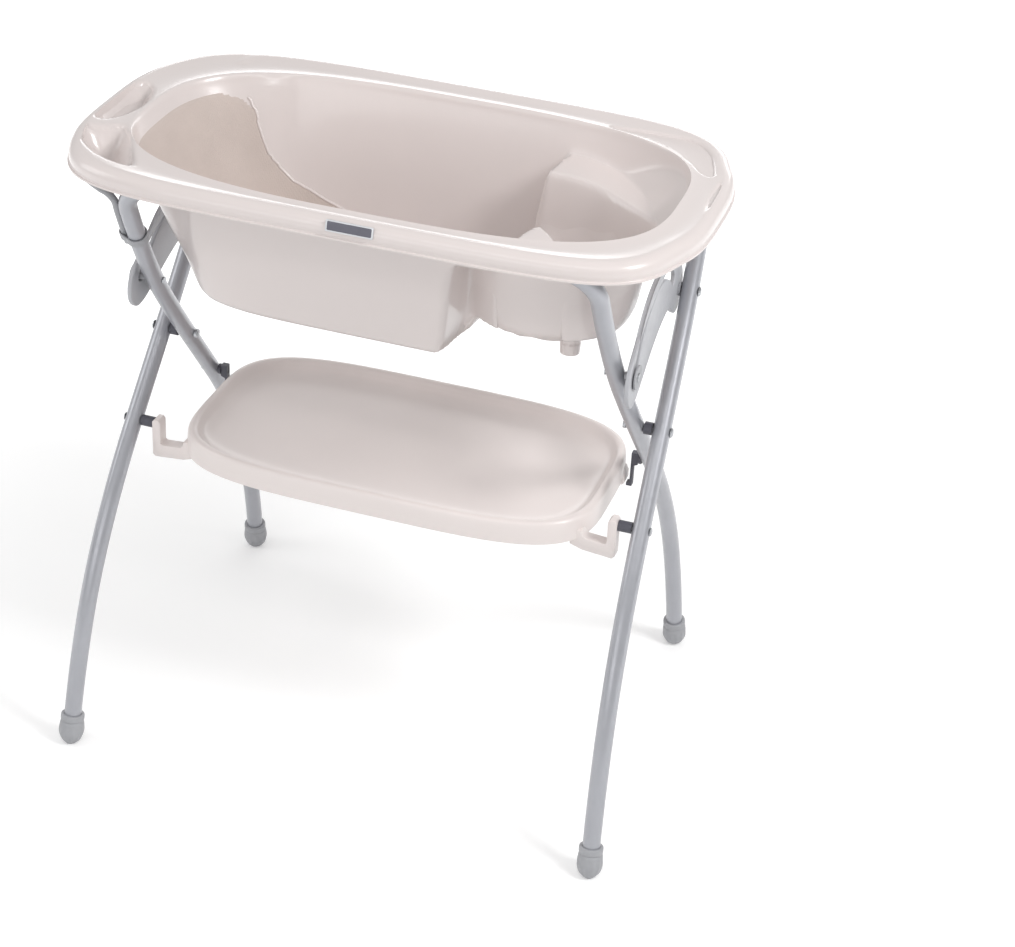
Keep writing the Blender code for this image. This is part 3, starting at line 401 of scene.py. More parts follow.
# ------------------------------------------------------------------ feet
def foot(name, x0, way, side, body, node):
    """Turned cap: bulbed sole, waist groove and collar over the tube end, cut level below.

    The bulb has shallow flutes that fade out above the floor and below the collar.
    """
    around, flutes, flute_deep = 64, 12, 0.0005
    ends = leg((-LEG_DOWN + SOLE, -LEG_DOWN + SOLE + 0.04), x0, way)
    axis = unit(ends[1] - ends[0])
    bulb = spline(((0.0, -0.0190), (0.0050, -0.0165), (0.0095, -0.0118), (0.0145, -0.0065),
                   (0.0176, 0.0010), (0.0186, 0.0080), (0.0180, 0.0160), (0.0170, 0.0215)), 5)
    collar = spline(((0.0170, 0.0215), (0.0158, 0.0232), (0.0157, 0.0245), (0.0170, 0.0256),
                     (0.0171, 0.0315), (0.0163, 0.0336), (0.0128, 0.0340)), 5)
    prof = np.vstack([bulb, collar[1:], [(0.0128, 0.020)]])
    verts, faces = turned_shape(prof, ends[0], axis, around)
    spin = np.arange(len(verts)) % around * TAU / around
    up = prof[np.arange(len(verts)) // around, 1]
    flute = flute_deep * (np.cos(spin * flutes) - 1.0) * smooth((up + 0.012) / 0.01)
    flute *= 1.0 - smooth((up - 0.014) / 0.006)
    centre = ends[0] + axis * ((verts - ends[0]) @ axis)[:, None]
    verts = verts + unit(verts - centre + 1e-12) * flute[:, None]
    verts[:, 2] = np.maximum(verts[:, 2], 0.0)
    piece(name, verts * (side, 1.0, 1.0), faces, body, FOOT_GREY, "grey_plastic", (node,))


for hand, side in HANDS:
    foot("front_foot_" + hand, LEG_X, 1.0, side, "outer_frame", "foot_front_" + hand)
    foot("back_foot_" + hand, INNER_X, -1.0, side, "inner_frame", "foot_back_" + hand)

# ------------------------------------------------------------------ bath
# closed outlines of the two soap dishes at the left and the shelf at the back right
DISH_OVAL = spline(((-0.440, -0.070), (-0.447, -0.024), (-0.442, 0.038), (-0.425, 0.068),
                    (-0.402, 0.050), (-0.391, 0.0), (-0.400, -0.043), (-0.419, -0.073)), 4, True)
DISH_CORNER = spline(((-0.436, -0.112), (-0.415, -0.150), (-0.372, -0.184), (-0.322, -0.196),
                      (-0.333, -0.160), (-0.380, -0.082), (-0.413, -0.092)), 4, True)
SHELF_CORNER = spline(((0.218, 0.196), (0.245, 0.204), (0.300, 0.2045), (0.338, 0.197),
                       (0.368, 0.165), (0.386, 0.118), (0.388, 0.095), (0.370, 0.104),
                       (0.345, 0.135), (0.300, 0.172), (0.255, 0.187)), 4, True)
OVAL_DEEP, CORNER_DEEP, SHELF_DEEP = 0.019, 0.038, 0.017
THUMB_DEEP, RIB_HIGH = 0.0045, 0.0024


def rim_power(c, s):
    """Fullness of the rim: rounder over the ends, squarer along the long sides."""
    w = smooth((np.abs(s) - 0.46) / 0.40)
    front = np.where(c < 0.0, 3.8 + 1.2 * w, 3.3 + 1.7 * w)
    back = np.where(c < 0.0, 3.2 + 0.8 * w, 3.2 + 1.6 * w)
    return np.where(s < 0.0, front, back)


def rounded(t, power):
    """Point of a unit rounded rectangle in direction t."""
    c, s = np.cos(t), np.sin(t)
    size = (np.abs(c) ** power + np.abs(s) ** power) ** (1.0 / power)
    return c / size, s / size


def mouth(t, v):
    """Outline of the basin at depth share v: 0 at the rim, 1 at the floor."""
    left = smooth(-np.cos(t) / 0.35)
    power = 3.15 + 0.1 * v - 0.35 * left + 2.2 * left * smooth(-np.sin(t) / 0.35) * v
    c, s = rounded(t, power)
    half_x = MOUTH_HALF[0] + (FLOOR_HALF[0] - MOUTH_HALF[0]) * v
    half_y = MOUTH_HALF[1] + (FLOOR_HALF[1] - MOUTH_HALF[1]) * v
    x = MOUTH_X + (FLOOR_X - MOUTH_X) * v + c * half_x
    y = s * half_y
    band = np.exp(-((x + 0.272) / 0.020) ** 2) * smooth(v / 0.10) * (1.0 - smooth((v - 0.7) / 0.3))
    return x, y * (1.0 - 0.035 * band)


# distance from the seat's middle, by direction in degrees, of two edges: where the scoop wall
# reaches the ledge, and where the slope outside the ledge begins
SCOOP_EDGE = spline(((-180, 0.165), (-130, 0.165), (-90, 0.165), (-50, 0.150), (-20, 0.128),
                     (0, 0.119), (16, 0.111), (30, 0.099), (46, 0.092), (64, 0.092), (90, 0.101),
                     (106, 0.110), (120, 0.124), (142, 0.15), (180, 0.165)), 8)
LEDGE_EDGE = spline(((-180, 0.40), (-60, 0.30), (-30, 0.17), (0, 0.125), (14, 0.114),
                     (30, 0.110), (45, 0.120), (62, 0.136), (82, 0.164), (97, 0.190),
                     (112, 0.200), (140, 0.30), (180, 0.40)), 8)
FRONT_ARM = ((0.176, -0.085), (0.186, -0.052), (0.198, -0.043), (0.222, -0.062),
             (0.248, -0.094), (0.262, -0.15), (0.170, -0.15))


def basin_floor(x, y, detail):
    """Height of the bottom: deep part, step up to the seat, seat scoop, ledge and slope.

    The scoop wall is a smooth step in the distance from the seat's middle, the slope outside
    the ledge is a cone round the same point, and the higher of ledge and slope is kept.  The
    ledge climbs a little towards its left end.
    """
    deep = RIM_Z - DEPTH
    seat, ledge = deep + SEAT_RISE, RIM_Z - LEDGE_DROP
    if detail:
        ledge = ledge + 0.009 * smooth((0.275 - x) / 0.09)
    dx, dy = x - SEAT_MID[0], y - SEAT_MID[1]
    turn = np.degrees(np.arctan2(dy, dx))
    r = np.hypot(dx, dy)
    lip = 0.024 if detail else 0.032
    rise = smooth((r - np.interp(turn, *np.transpose(SCOOP_EDGE)) + lip) / (1.1 * lip))
    step = smooth((x - 0.112 - 0.11 * y) / 0.034)
    z = deep + (seat + (ledge - seat) * rise - deep) * step
    past = r - np.interp(turn, *np.transpose(LEDGE_EDGE))
    slope = np.minimum(ledge + past * np.where(past > 0.0, 0.9, 5.0), RIM_Z - 0.014)
    mask = smooth((x - 0.175) / 0.035) * smooth((y + 0.06) / 0.06)
    z = z + soft_max(slope - z, 0.0 * z, 0.004) * mask
    if detail:
        z = z + np.maximum(ledge - z, 0.0) * smooth((inside(x, y, FRONT_ARM) + 0.003) / 0.012)
    return z


def rim_relief(x, y, detail):
    """Soap dishes and shelf sunk in the rim, thumb hollow at the right, rib at the back left."""
    soft = 0.011 if detail else 0.022
    drop = OVAL_DEEP * smooth(inside(x, y, DISH_OVAL) / soft)
    drop = drop + CORNER_DEEP * smooth(inside(x, y, DISH_CORNER) / (soft * 1.5))
    if not detail:
        return drop
    drop = drop + SHELF_DEEP * smooth((inside(x, y, SHELF_CORNER) + 0.001) / 0.007)
    thumb = np.hypot((x - 0.412) / 0.011, (y - 0.040) / 0.055)
    drop = drop + THUMB_DEEP * smooth((1.2 - thumb) / 0.6)
    along = (x + 0.326) * 0.94 - (y - 0.210) * 0.34
    rib = np.exp(-(along / 0.0055) ** 2) * smooth((y - 0.182) / 0.012) * smooth((0.246 - y) / 0.01)
    return drop - RIB_HIGH * rib


RIM_SECTION = ((0.0, 0.0265), (0.0, 0.0242), (0.0022, 0.0232), (0.0016, 0.0175),
               (0.0022, 0.0110), (0.0052, 0.0052), (0.0105, 0.0014), (0.0165, 0.0))
WALL_SECTION = ((0.0, 0.0016), (0.018, 0.0030), (0.040, 0.0064), (0.065, 0.0120),
                (0.10, 0.0190), (0.25, 0.0480), (0.40, 0.0790), (0.55, 0.1100),
                (0.70, 0.1410), (0.84, 0.1710), (0.91, 0.1870), (0.96, 0.1985), (1.0, 0.2055))


def bath_surface(stations, rim_per, land, wall_per, floor_rows, detail=True):
    """Bath as rings: rolled rim section, land to the mouth, wall down to the floor, floor.

    A ring is a rounded rectangle; the wall height is the larger of the plain draft wall and
    the floor relief, blended with a fillet, and the land is lowered by the rim relief.
    """
    t = TAU * np.arange(stations) / stations
    t = t - 0.28 * np.sin(t)     # closer together at the right end, where the seat is
    c, s = rounded(t, rim_power(np.cos(t), np.sin(t)))
    rows = []
    for inset, drop in spline(RIM_SECTION, rim_per):
        inset = max(inset, 0.0)
        rows.append((BATH_MID[0] + c * (BATH_HALF[0] - inset),
                     BATH_MID[1] + s * (BATH_HALF[1] - inset), np.full(stations, RIM_Z - drop)))
    bx, by, _ = rows[-1]
    mx, my = mouth(t, 0.0)
    for w in np.arange(1, land + 1) / land:
        x, y = bx + (mx - bx) * w, by + (my - by) * w
        dish = 0.0022 * math.sin(math.pi * w)
        z = np.minimum(RIM_Z - 0.0016 * smooth(w) - dish - rim_relief(x, y, detail), RIM_Z)
        rows.append((x, y, z))
    for v, drop in spline(WALL_SECTION, wall_per)[1:]:
        x, y = mouth(t, v)
        fade = 1.0 - smooth(v / 0.07)
        wall = RIM_Z - drop - rim_relief(x, y, detail) * fade
        rows.append((x, y, soft_max(wall, basin_floor(x, y, detail), 0.010)))
    fx, fy = mouth(t, 1.0)
    inward = np.arange(1, floor_rows + 1) / (floor_rows + 0.5)
    for f in 1.0 - inward ** 1.25:
        x, y = FLOOR_X + (fx - FLOOR_X) * f, fy * f
        low = RIM_Z - DEPTH + 0.006 * smooth((f - 0.80) / 0.20)
        rows.append((x, y, soft_max(low + 0.0 * x, basin_floor(x, y, detail), 0.003)))
    return np.stack([np.stack(row, -1) for row in rows])


def ring_normals(grid):
    """Upward and inward facing normals of a ring surface, from its neighbours."""
    along = np.roll(grid, -1, axis=1) - np.roll(grid, 1, axis=1)
    down = np.gradient(grid, axis=0)
    n = unit(np.cross(down, along))
    if n[-3, 0, 2] < 0.0:
        n = -n
    return n


def bath():
    """Inner face in full detail, plain outer face one wall away, joined at the lip."""
    stations = 460
    face = bath_surface(stations, 3, 16, 5, 66)
    plain = bath_surface(stations, 1, 6, 2, 16, detail=False)
    n = ring_normals(plain)
    n[0, :, 2] = 0.0
    n[0] = unit(n[0])
    back = plain - n * BATH_SHELL
    rows_f, rows_b = len(face), len(back)
    verts = np.vstack([face.reshape(-1, 3), back.reshape(-1, 3)])
    off = rows_f * stations
    faces = grid_faces(rows_f, stations)
    faces += [f[::-1] for f in grid_faces(rows_b, stations, start=off)]
    i = np.arange(stations)
    j = (i + 1) % stations
    faces += np.stack([i, j, off + j, off + i], -1).tolist()
    for last in ((rows_f - 1) * stations, off + (rows_b - 1) * stations):
        faces.append((i + last).tolist())
    piece("bath_moulding", verts, faces, "bath", PEARL, "bath_plastic", ("bath_tub",),
          sharp=60.0)


bath()

PAD_TOP_SPAN = 4             # spans of the wall section above the grip skin
PAD_CORNER = 0.045           # round corners of the skin at the top
PAD_LIFT = 0.0009            # skin above the moulding
PAD_ROUND = 0.0022           # width of the skin's rounded edge
PAD_BEAD_R = 0.0021          # bead of bath plastic along the skin's two side edges
# pad edge: how far right the grip skin reaches, by height above the floor
PAD_EDGE_Z = (0.000, 0.020, 0.035, 0.046, 0.057, 0.067, 0.084, 0.102, 0.119, 0.136, 0.157,
              0.174, 0.185, 0.200)
PAD_EDGE_X = (-0.120, -0.135, -0.165, -0.190, -0.209, -0.229, -0.246, -0.261, -0.270, -0.279,
              -0.286, -0.296, -0.309, -0.320)


def grip_pad():
    """Skin over the left wall and the floor beside it.

    Each ring of the bath surface is cut where it meets the edge curve x(z), sampled evenly
    between the two cuts, and lifted; the lift falls to the edge on a quarter round.
    """
    stations, across = 900, 150
    deep = RIM_Z - DEPTH
    land, wall_per = 2, 8
    grid = bath_surface(stations, 1, land, wall_per, 60)
    n = ring_normals(grid)
    start = len(RIM_SECTION) + land + PAD_TOP_SPAN * wall_per
    rows, leans = [], []
    for k in range(start, len(grid)):
        ring, norm = grid[k], n[k]
        gap = ring[:, 0] - np.interp(ring[:, 2] - deep, PAD_EDGE_Z, PAD_EDGE_X)
        left = np.nonzero(gap < 0.0)[0]
        if len(left) < 6:
            break
        pick = np.linspace(left[0], left[-1], across)
        idx = np.arange(stations)
        pos = np.stack([np.interp(pick, idx, ring[:, a]) for a in range(3)], -1)
        nor = unit(np.stack([np.interp(pick, idx, norm[:, a]) for a in range(3)], -1))
        rows.append(pos)
        leans.append(nor)
    pos, nor = np.array(rows), np.array(leans)
    count = len(pos)
    # distance from the rim of the patch, in metres, along both directions
    run = np.linalg.norm(np.diff(pos, axis=1), axis=2)
    along = np.concatenate([np.zeros((count, 1)), np.cumsum(run, axis=1)], axis=1)
    side = np.minimum(along, along[:, -1:] - along)
    fall = np.linalg.norm(np.diff(pos[:, across // 2], axis=0), axis=1)
    down = np.concatenate([[0.0], np.cumsum(fall)])[:, None]
    corner = np.maximum(PAD_CORNER - side, 0.0)
    top = down - (PAD_CORNER - np.sqrt(np.maximum(PAD_CORNER ** 2 - corner ** 2, 0.0)))
    near = np.clip(np.minimum(side, top) / PAD_ROUND, -1.0, 1.0)
    lift = PAD_LIFT * np.sqrt(np.maximum(1.0 - (1.0 - np.maximum(near, 0.0)) ** 2, 0.0))
    lift = np.where(near > 0.0, lift + 0.0001, -0.0012)
    upper = pos + nor * lift[..., None]
    lower = pos - nor * 0.0016
    verts = np.vstack([upper.reshape(-1, 3), lower.reshape(-1, 3)])
    off = count * across
    faces = grid_faces(count, across, wrap_cols=False)
    faces += [f[::-1] for f in grid_faces(count, across, wrap_cols=False, start=off)]
    loop = np.concatenate([np.arange(across), np.arange(1, count) * across + across - 1,
                           (count - 1) * across + np.arange(across - 2, -1, -1),
                           np.arange(count - 2, 0, -1) * across])
    nxt = np.roll(loop, -1)
    faces += np.stack([loop, nxt, off + nxt, off + loop], -1).tolist()
    piece("grip_skin", verts, faces, "bath", GRIP, "grip_pad", ("backrest_grip_pad",), sharp=50.0)
    keep = slice(3, count - 2)
    for label, end in (("back", 0), ("front", -1)):
        line = pos[keep, end] + nor[keep, end] * 0.0002
        verts, faces = tube_shape(line, PAD_BEAD_R, 14, up=(0.0, 0.3, 1.0))
        piece("pad_bead_" + label, verts, faces, "bath", PEARL, "bath_plastic")


grip_pad()

# badge: raised plate with a rounded frame round a dark empty field
badge_low, badge_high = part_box("front_badge")
badge_mid = 0.5 * (np.array(badge_low) + np.array(badge_high))


def badge_outline(half_u, half_v, radius):
    """Rectangle with round corners, as a closed loop."""
    a = np.radians(np.arange(0, 90, 15))
    loop = []
    for cu, cv, turn in ((1, 1, 0), (-1, 1, 90), (-1, -1, 180), (1, -1, 270)):
        b = a + math.radians(turn)
        loop.append(np.stack([cu * (half_u - radius) + radius * np.cos(b),
                              cv * (half_v - radius) + radius * np.sin(b)], -1))
    return np.vstack(loop)


BADGE_HALF, BADGE_CORNER = (0.0325, 0.0078), 0.0022
FIELD_HALF, FIELD_CORNER = (0.0300, 0.0058), 0.0014
badge_at = (badge_mid[0], badge_low[1] + 0.0016, badge_mid[2] - 0.0024)
badge_u = np.array((1.0, 0.0, 0.0))
badge_n = unit(np.array((0.0, -0.966, 0.26)))
badge_v = np.cross(badge_u, badge_n)
piece("badge_frame", *plate_shape(badge_outline(*BADGE_HALF, BADGE_CORNER), [], badge_at, badge_u,
                                  badge_v, badge_n, -0.0012, 0.0006, 0.0005),
      "bath", PLATE, "badge_plate", ("front_badge",))
piece("badge_field", *plate_shape(badge_outline(*FIELD_HALF, FIELD_CORNER), [], badge_at, badge_u,
                                  badge_v, badge_n, -0.0008, 0.0008, 0.0002),
      "bath", BADGE_INK, "badge_plate")

# ------------------------------------------------------------------ tray
FRONT_STUD = np.array(JOINTS["tray_fold"]["pos_m"])
REAR_STUD = np.array(JOINTS["catch_fold"]["pos_m"])
TRAY_HALF = (0.309, 0.1725)
TRAY_Y = 0.0145
TRAY_TOP = FRONT_STUD[2] + 0.0035
TRAY_LOW = TRAY_TOP - 0.034
PRONG = (0.335, 0.348)


def tray():
    """Rounded rectangle rings: skirt, rolled edge, step down and nearly flat bed, with a wall."""
    stations = 360
    top = spline(((0.0000, TRAY_LOW), (0.0002, TRAY_LOW + 0.010), (0.0010, TRAY_TOP - 0.0070),
                  (0.0035, TRAY_TOP - 0.0016), (0.0080, TRAY_TOP), (0.0125, TRAY_TOP - 0.0016),
                  (0.0170, TRAY_TOP - 0.0070), (0.0230, TRAY_TOP - 0.0130),
                  (0.0330, TRAY_TOP - 0.0165), (0.0500, TRAY_TOP - 0.0182),
                  (0.0900, TRAY_TOP - 0.0190), (0.1680, TRAY_TOP - 0.0192)), 6)
    wall = 0.0026
    low = spline(((0.1680, TRAY_TOP - 0.0220), (0.0500, TRAY_TOP - 0.0212),
                  (0.0320, TRAY_TOP - 0.0195), (0.0200, TRAY_TOP - 0.0140),
                  (0.0145, TRAY_TOP - 0.0070), (0.0080, TRAY_TOP - wall),
                  (0.0034, TRAY_TOP - 0.0070), (0.0026, TRAY_LOW)), 4)
    prof = np.vstack([top[::-1], low[::-1]])
    t = TAU * np.arange(stations) / stations
    c, s = rounded(t, 4.0)
    grid = np.stack([np.broadcast_to(c, (len(prof), stations))
                     * (TRAY_HALF[0] - prof[:, :1]),
                     TRAY_Y + s * (TRAY_HALF[1] - prof[:, :1]),
                     np.broadcast_to(prof[:, 1:], (len(prof), stations))], -1)
    faces = grid_faces(len(prof), stations)
    faces.append(list(range(stations))[::-1])
    faces.append(list(range((len(prof) - 1) * stations, len(prof) * stations)))
    piece("tray_moulding", grid.reshape(-1, 3), faces, "tray_body", TRAY_PLASTIC,
          "tray_plastic", ("tray",), sharp=50.0)


tray()


def tray_arms():
    """Front hooks with an open socket for the stud, and the square lugs under the rear corners."""
    z = TRAY_LOW
    socket_z = FRONT_STUD[2]
    hook = ((0.283, z - 0.010), (0.300, z - 0.016), (0.3440, z - 0.020), (PRONG[1], z - 0.016),
            (PRONG[1], socket_z + 0.006), (0.3450, socket_z + 0.010),
            (0.3380, socket_z + 0.010), (PRONG[0], socket_z + 0.006), (PRONG[0], z + 0.003),
            (0.3320, z + 0.001), (0.3050, z + 0.003), (0.3010, z + 0.007),
            (0.2990, z + 0.014), (0.283, z + 0.014))
    lug = ((0.286, z - 0.010), (0.3060, z - 0.012), (0.3088, z - 0.009), (0.3088, z + 0.002),
           (0.305, z + 0.010), (0.286, z + 0.012))
    for hand, side in HANDS:
        for label, shape, y, half in (("hook", hook, FRONT_STUD[1], 0.010),
                                      ("lug", lug, REAR_STUD[1], 0.013)):
            loop = np.array(shape) * (side, 1.0)
            piece("tray_" + label + "_" + hand,
                  *plate_shape(loop, [], (0.0, y, 0.0), (1, 0, 0), (0, 0, 1), (0, -1, 0),
                               -half, half, 0.0016),
                  "tray_body", TRAY_PLASTIC, "tray_plastic")


tray_arms()

# ------------------------------------------------------------------ fold links
FOLD = math.radians(JOINTS["outer_fold"]["range_deg"][1])
HEAD = np.array(JOINTS["link_fold_right"]["pos_m"])
LINK_N = unit(np.array(JOINTS["link_fold_right"]["axis"]))
LINK_V = unit(np.cross(LINK_N, (0.0, 1.0, 0.0)))
LINK_U = np.cross(LINK_V, LINK_N)
PIN = leg(0.178, INNER_X, -1.0)[0]
LINK_TURN = 1.077
LINK_T = 0.0065
SLOT_W = 0.016
# outline round the link's pivot as it hangs when folded
LINK_HANG = ((0.0240, -0.0110), (0.0190, 0.0090), (0.0030, 0.0210), (-0.0180, 0.0240),
             (-0.0420, 0.0190), (-0.0640, 0.0050), (-0.0810, -0.0210), (-0.0950, -0.0560),
             (-0.1070, -0.1010), (-0.1120, -0.1380), (-0.1120, -0.1780), (-0.1060, -0.2250),
             (-0.0920, -0.2490), (-0.0680, -0.2590), (-0.0470, -0.2510), (-0.0390, -0.2300),
             (-0.0380, -0.1950), (-0.0380, -0.1450), (-0.0330, -0.0960), (-0.0190, -0.0540),
             (0.0030, -0.0400), (0.0180, -0.0290))


def turned(p, a):
    """Flat points turned by angle a about the pivot."""
    p = np.asarray(p, float)
    c, s = np.cos(a), np.sin(a)
    return np.stack([p[..., 0] * c - p[..., 1] * s, p[..., 0] * s + p[..., 1] * c], -1)


def slot_loop(half):
    """Line the pin follows in the link while the stand folds, widened, with round ends."""
    a = np.linspace(0.0, FOLD, 40)
    head = turned(HEAD[1:] - (0.0, PIVOT_Z), a)
    pin = turned(PIN[1:] - (0.0, PIVOT_Z), -a)
    line = turned(pin - head, -a * (1.0 + LINK_TURN))
    tang = unit(np.gradient(line, axis=0))
    out = np.stack([-tang[:, 1], tang[:, 0]], -1) * half
    ang = np.linspace(0.0, math.pi, 13)[1:-1, None]
    end = line[-1] + out[-1] * np.cos(ang) + tang[-1] * half * np.sin(ang)
    start = line[0] - out[0] * np.cos(ang) - tang[0] * half * np.sin(ang)
    return np.vstack([line + out, end, (line - out)[::-1], start])


link_outline = turned(spline(LINK_HANG, 8, closed=True), -FOLD * (1.0 + LINK_TURN))
link_mid = -TUBE_R - 0.5 * FRAME_GAP
for hand, side in HANDS:
    flip = np.array((side, 1.0, 1.0))
    verts, faces = plate_shape(link_outline, [slot_loop(0.5 * SLOT_W)], HEAD, LINK_U, LINK_V,
                               LINK_N, link_mid - 0.5 * LINK_T, link_mid + 0.5 * LINK_T, 0.0016)
    piece("link_plate_" + hand, np.array(verts) * flip, faces, "link_" + hand, LINK_GREY,
          "link_plastic", ("fold_link_" + hand,), sharp=60.0)

# ------------------------------------------------------------------ towel rail
RAIL_R = 0.005


def rail():
    """Round rod: up beside the inner left leg, then back under the left end of the rim."""
    beside = TUBE_R + 0.0003 + RAIL_R
    rise = leg((0.268, 0.300, 0.335, 0.356), INNER_X, -1.0) * (-1.0, 1.0, 1.0)
    rise[:, 0] -= beside
    z = RIM_Z - LIP - RAIL_R - 0.006
    last = rise[-1]
    back = ((last[0] - 0.006, last[1] - 0.008, z - 0.003), (last[0] - 0.020, last[1] - 0.004, z),
            (-0.395, -0.180, z), (-0.420, -0.140, z), (-0.436, -0.090, z), (-0.444, -0.030, z),
            (-0.449, 0.030, z + 0.001), (-0.455, 0.085, z + 0.002), (-0.460, 0.120, z + 0.003))
    path = spline(np.vstack([rise, back]), 8)
    piece("rail_rod", *tube_shape(path, RAIL_R, 24, up=(0.0, 1.0, 0.2)), "inner_frame",
          FOOT_GREY, "grey_plastic", ("towel_rail",))


rail()

# ------------------------------------------------------------------ screw heads
def cross_head(name, centre, axis, radius, body):
    """Domed head over the plain one: round crown with four slots sunk towards its middle."""
    rows, around = 14, 64
    dome, slot_deep, slot_half, slot_reach = 0.0012, 0.0009, 0.0011, 0.62
    r = radius * np.linspace(1.0, 0.0, rows)
    a = TAU * np.arange(around) / around
    rr, aa = np.meshgrid(r, a, indexing="ij")
    u, v = rr * np.cos(aa), rr * np.sin(aa)
    crown = dome * np.sqrt(np.maximum(1.0 - (rr / radius) ** 2 * 0.92, 0.0))
    narrow = np.minimum(np.abs(u), np.abs(v))
    sink = smooth((slot_half - narrow) / 0.0004)
    sink = sink * smooth((slot_reach * radius - rr) / 0.0006)
    height = crown - slot_deep * sink
    one, two = np.array((0.0, 1.0, 0.0)), np.array((0.0, 0.0, 1.0))
    axis = unit(np.asarray(axis, float))
    one = unit(one - axis * one.dot(axis))
    two = np.cross(axis, one)
    top = (np.asarray(centre, float) + u[..., None] * one + v[..., None] * two
           + height[..., None] * axis)
    base = np.asarray(centre, float) + (u[0, :, None] * one + v[0, :, None] * two) - 0.0006 * axis
    verts = np.vstack([base, top.reshape(-1, 3)])
    faces = grid_faces(rows + 1, around)
    faces.append(list(range(around))[::-1])
    piece(name, verts, faces, body, ZINC, "zinc_fastener", sharp=35.0)


def crown_of(node, outward):
    """Middle of a fastener's outermost face."""
    low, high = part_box(node)
    mid = 0.5 * (np.array(low) + np.array(high))
    mid[0] = high.x if outward > 0.0 else low.x
    return mid


# name, node, how far the crown sits in below the node's outer face, radius and body
HEADS = (("pivot_cross_", "pivot_bolt_", 0.0013, 0.0058, "cross_pivots"),
         ("pin_cross_", "pin_rivet_", 0.0012, 0.0050, "inner_frame"),
         ("front_cross_", "front_stud_screw_", 0.0012, 0.0048, "outer_frame"),
         ("rear_cross_", "rear_stud_screw_", 0.0012, 0.0048, "inner_frame"))
for hand, side in HANDS:
    for label, node, sunk, radius, body in HEADS:
        centre = crown_of(node + hand, side) - (side * sunk, 0.0, 0.0)
        cross_head(label + hand, centre, (side, 0, 0), radius, body)

# ------------------------------------------------------------------ floor, light and camera
def stage_finish(name, colour, lift):
    """White matt floor that keeps the shadow; seen directly it is lifted towards white.

    The lift grows with the distance from the middle, so that the far floor has no edge.
    """
    mat = bpy.data.materials.new(name)
    mat.use_nodes = True
    tree = mat.node_tree
    bsdf = tree.nodes["Principled BSDF"]
    bsdf.inputs["Base Color"].default_value = (*colour, 1.0)
    bsdf.inputs["Roughness"].default_value = 0.9
    path = tree.nodes.new("ShaderNodeLightPath")
    seen = tree.nodes.new("ShaderNodeMath")
    seen.operation = "MAXIMUM"
    tree.links.new(path.outputs["Is Camera Ray"], seen.inputs[0])
    tree.links.new(path.outputs["Is Glossy Ray"], seen.inputs[1])
    place = tree.nodes.new("ShaderNodeTexCoord")
    reach = tree.nodes.new("ShaderNodeVectorMath")
    reach.operation = "LENGTH"
    tree.links.new(place.outputs["Object"], reach.inputs[0])
    far = tree.nodes.new("ShaderNodeMapRange")
    far.interpolation_type = "SMOOTHSTEP"
    far.inputs["From Min"].default_value = 0.55
    far.inputs["From Max"].default_value = 2.4
    far.inputs["To Min"].default_value = lift
    far.inputs["To Max"].default_value = 0.8
    tree.links.new(reach.outputs["Value"], far.inputs["Value"])
    power = tree.nodes.new("ShaderNodeMath")
    power.operation = "MULTIPLY"
    tree.links.new(far.outputs["Result"], power.inputs[1])
    tree.links.new(seen.outputs["Value"], power.inputs[0])
    bsdf.inputs["Emission Color"].default_value = (1.0, 1.0, 1.0, 1.0)
    tree.links.new(power.outputs["Value"], bsdf.inputs["Emission Strength"])
    return mat


def floor():
    """Round level disc under the feet, wide enough to fill the view."""
    around = 96
    a = TAU * np.arange(around) / around
    ring = np.stack([np.cos(a), np.sin(a), 0.0 * a], -1)
    radii = np.array((0.5, 1.5, 4.0, 12.0))
    verts = (ring[None] * radii[:, None, None]).reshape(-1, 3)
    verts[:, 2] = -0.0002
    faces = grid_faces(len(radii), around)
    faces.append(list(range(around)))
    mesh = bpy.data.meshes.new("studio_floor")
    mesh.from_pydata(verts.tolist(), [], faces)
    ob = bpy.data.objects.new("studio_floor", mesh)
    bpy.context.scene.collection.objects.link(ob)
    mesh.materials.append(stage_finish("studio_white", (0.86, 0.86, 0.86), 0.24))


floor()

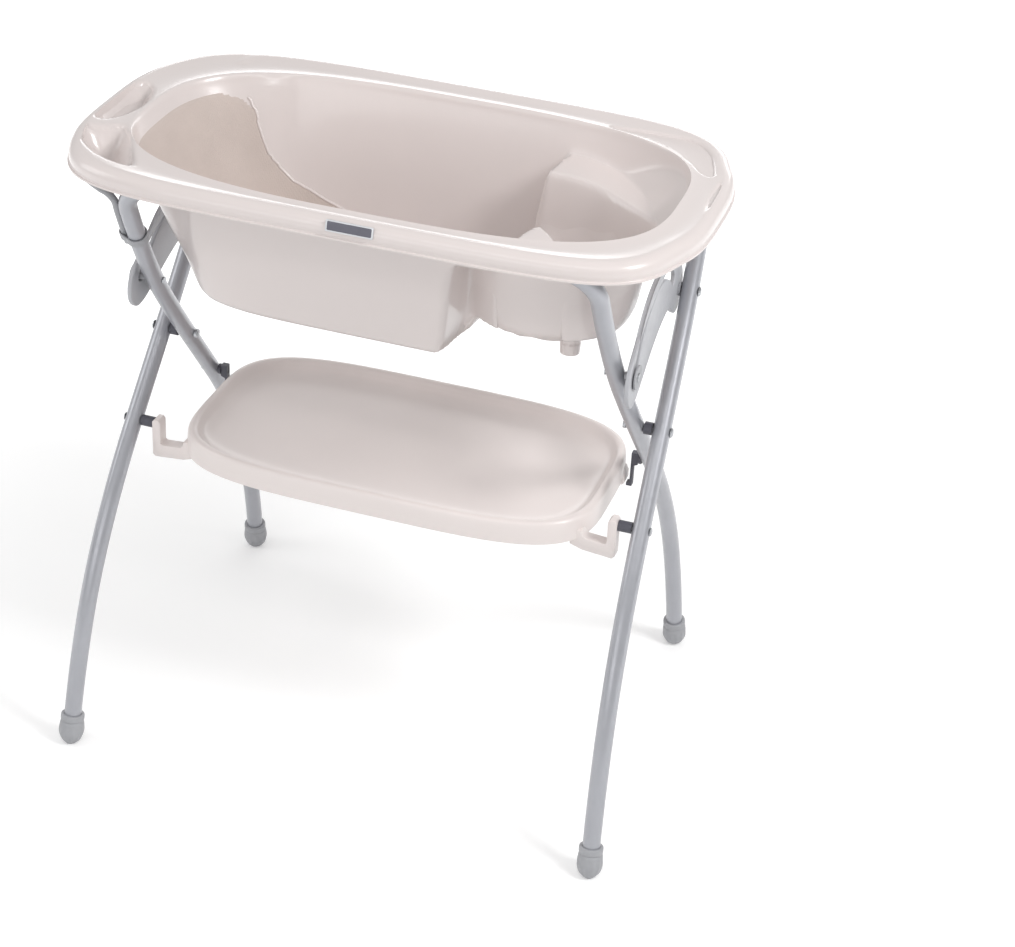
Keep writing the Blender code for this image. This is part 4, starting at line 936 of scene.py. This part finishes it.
WORLD_LIGHT = 0.56           # strength for everything but the camera, which sees plain white
world = bpy.data.worlds.new("studio")
bpy.context.scene.world = world
world.use_nodes = True
sky = world.node_tree
light_path = sky.nodes.new("ShaderNodeLightPath")
pick = sky.nodes.new("ShaderNodeMapRange")
pick.inputs["To Min"].default_value = WORLD_LIGHT
pick.inputs["To Max"].default_value = 1.0
sky.links.new(light_path.outputs["Is Camera Ray"], pick.inputs["Value"])
back = sky.nodes["Background"]
back.inputs["Color"].default_value = (1.0, 1.0, 1.0, 1.0)
sky.links.new(pick.outputs["Result"], back.inputs["Strength"])


def softbox(name, place, target, size, watts):
    """Rectangular lamp facing a point."""
    data = bpy.data.lights.new(name, "AREA")
    data.shape = "RECTANGLE"
    data.size, data.size_y = size
    data.energy = watts
    ob = bpy.data.objects.new(name, data)
    bpy.context.scene.collection.objects.link(ob)
    aim = Vector(target) - Vector(place)
    ob.rotation_euler = aim.to_track_quat("-Z", "Y").to_euler()
    ob.location = place


softbox("key", (2.2, -0.5, 2.7), (0.0, 0.0, 0.4), (0.8, 0.8), 42.0)
softbox("front", (-0.5, -3.0, 1.45), (0.0, 0.0, 0.55), (2.6, 0.9), 12.0)
softbox("left", (-2.6, -0.9, 1.9), (0.1, 0.0, 0.75), (1.3, 1.7), 15.0)
softbox("behind", (-0.4, 2.3, 1.25), (0.0, 0.0, 0.45), (2.4, 0.5), 9.0)
softbox("strip", (0.2, -1.9, 2.9), (0.0, 0.0, 0.8), (2.6, 0.25), 9.0)

# camera: 36 mm wide film, looking down along the long side
CAMERA_AT = (1.008, -2.810, 2.225)
YAW, PITCH, ROLL = (math.radians(v) for v in (16.836, 31.457, 3.357))
back_axis = Vector((math.sin(YAW) * math.cos(PITCH), -math.cos(YAW) * math.cos(PITCH),
                    math.sin(PITCH)))
right0 = Vector((math.cos(YAW), math.sin(YAW), 0.0))
up0 = back_axis.cross(right0)
right_axis = right0 * math.cos(ROLL) + up0 * math.sin(ROLL)
up_axis = up0 * math.cos(ROLL) - right0 * math.sin(ROLL)
view = Matrix((right_axis, up_axis, back_axis)).transposed().to_4x4()
view.translation = CAMERA_AT
lens = bpy.data.cameras.new("camera")
lens.lens = 85.97
lens.sensor_width = 36.0
camera = bpy.data.objects.new("camera", lens)
camera.matrix_world = view
bpy.context.scene.collection.objects.link(camera)
bpy.context.scene.camera = camera
bpy.context.scene.view_settings.view_transform = "Standard"
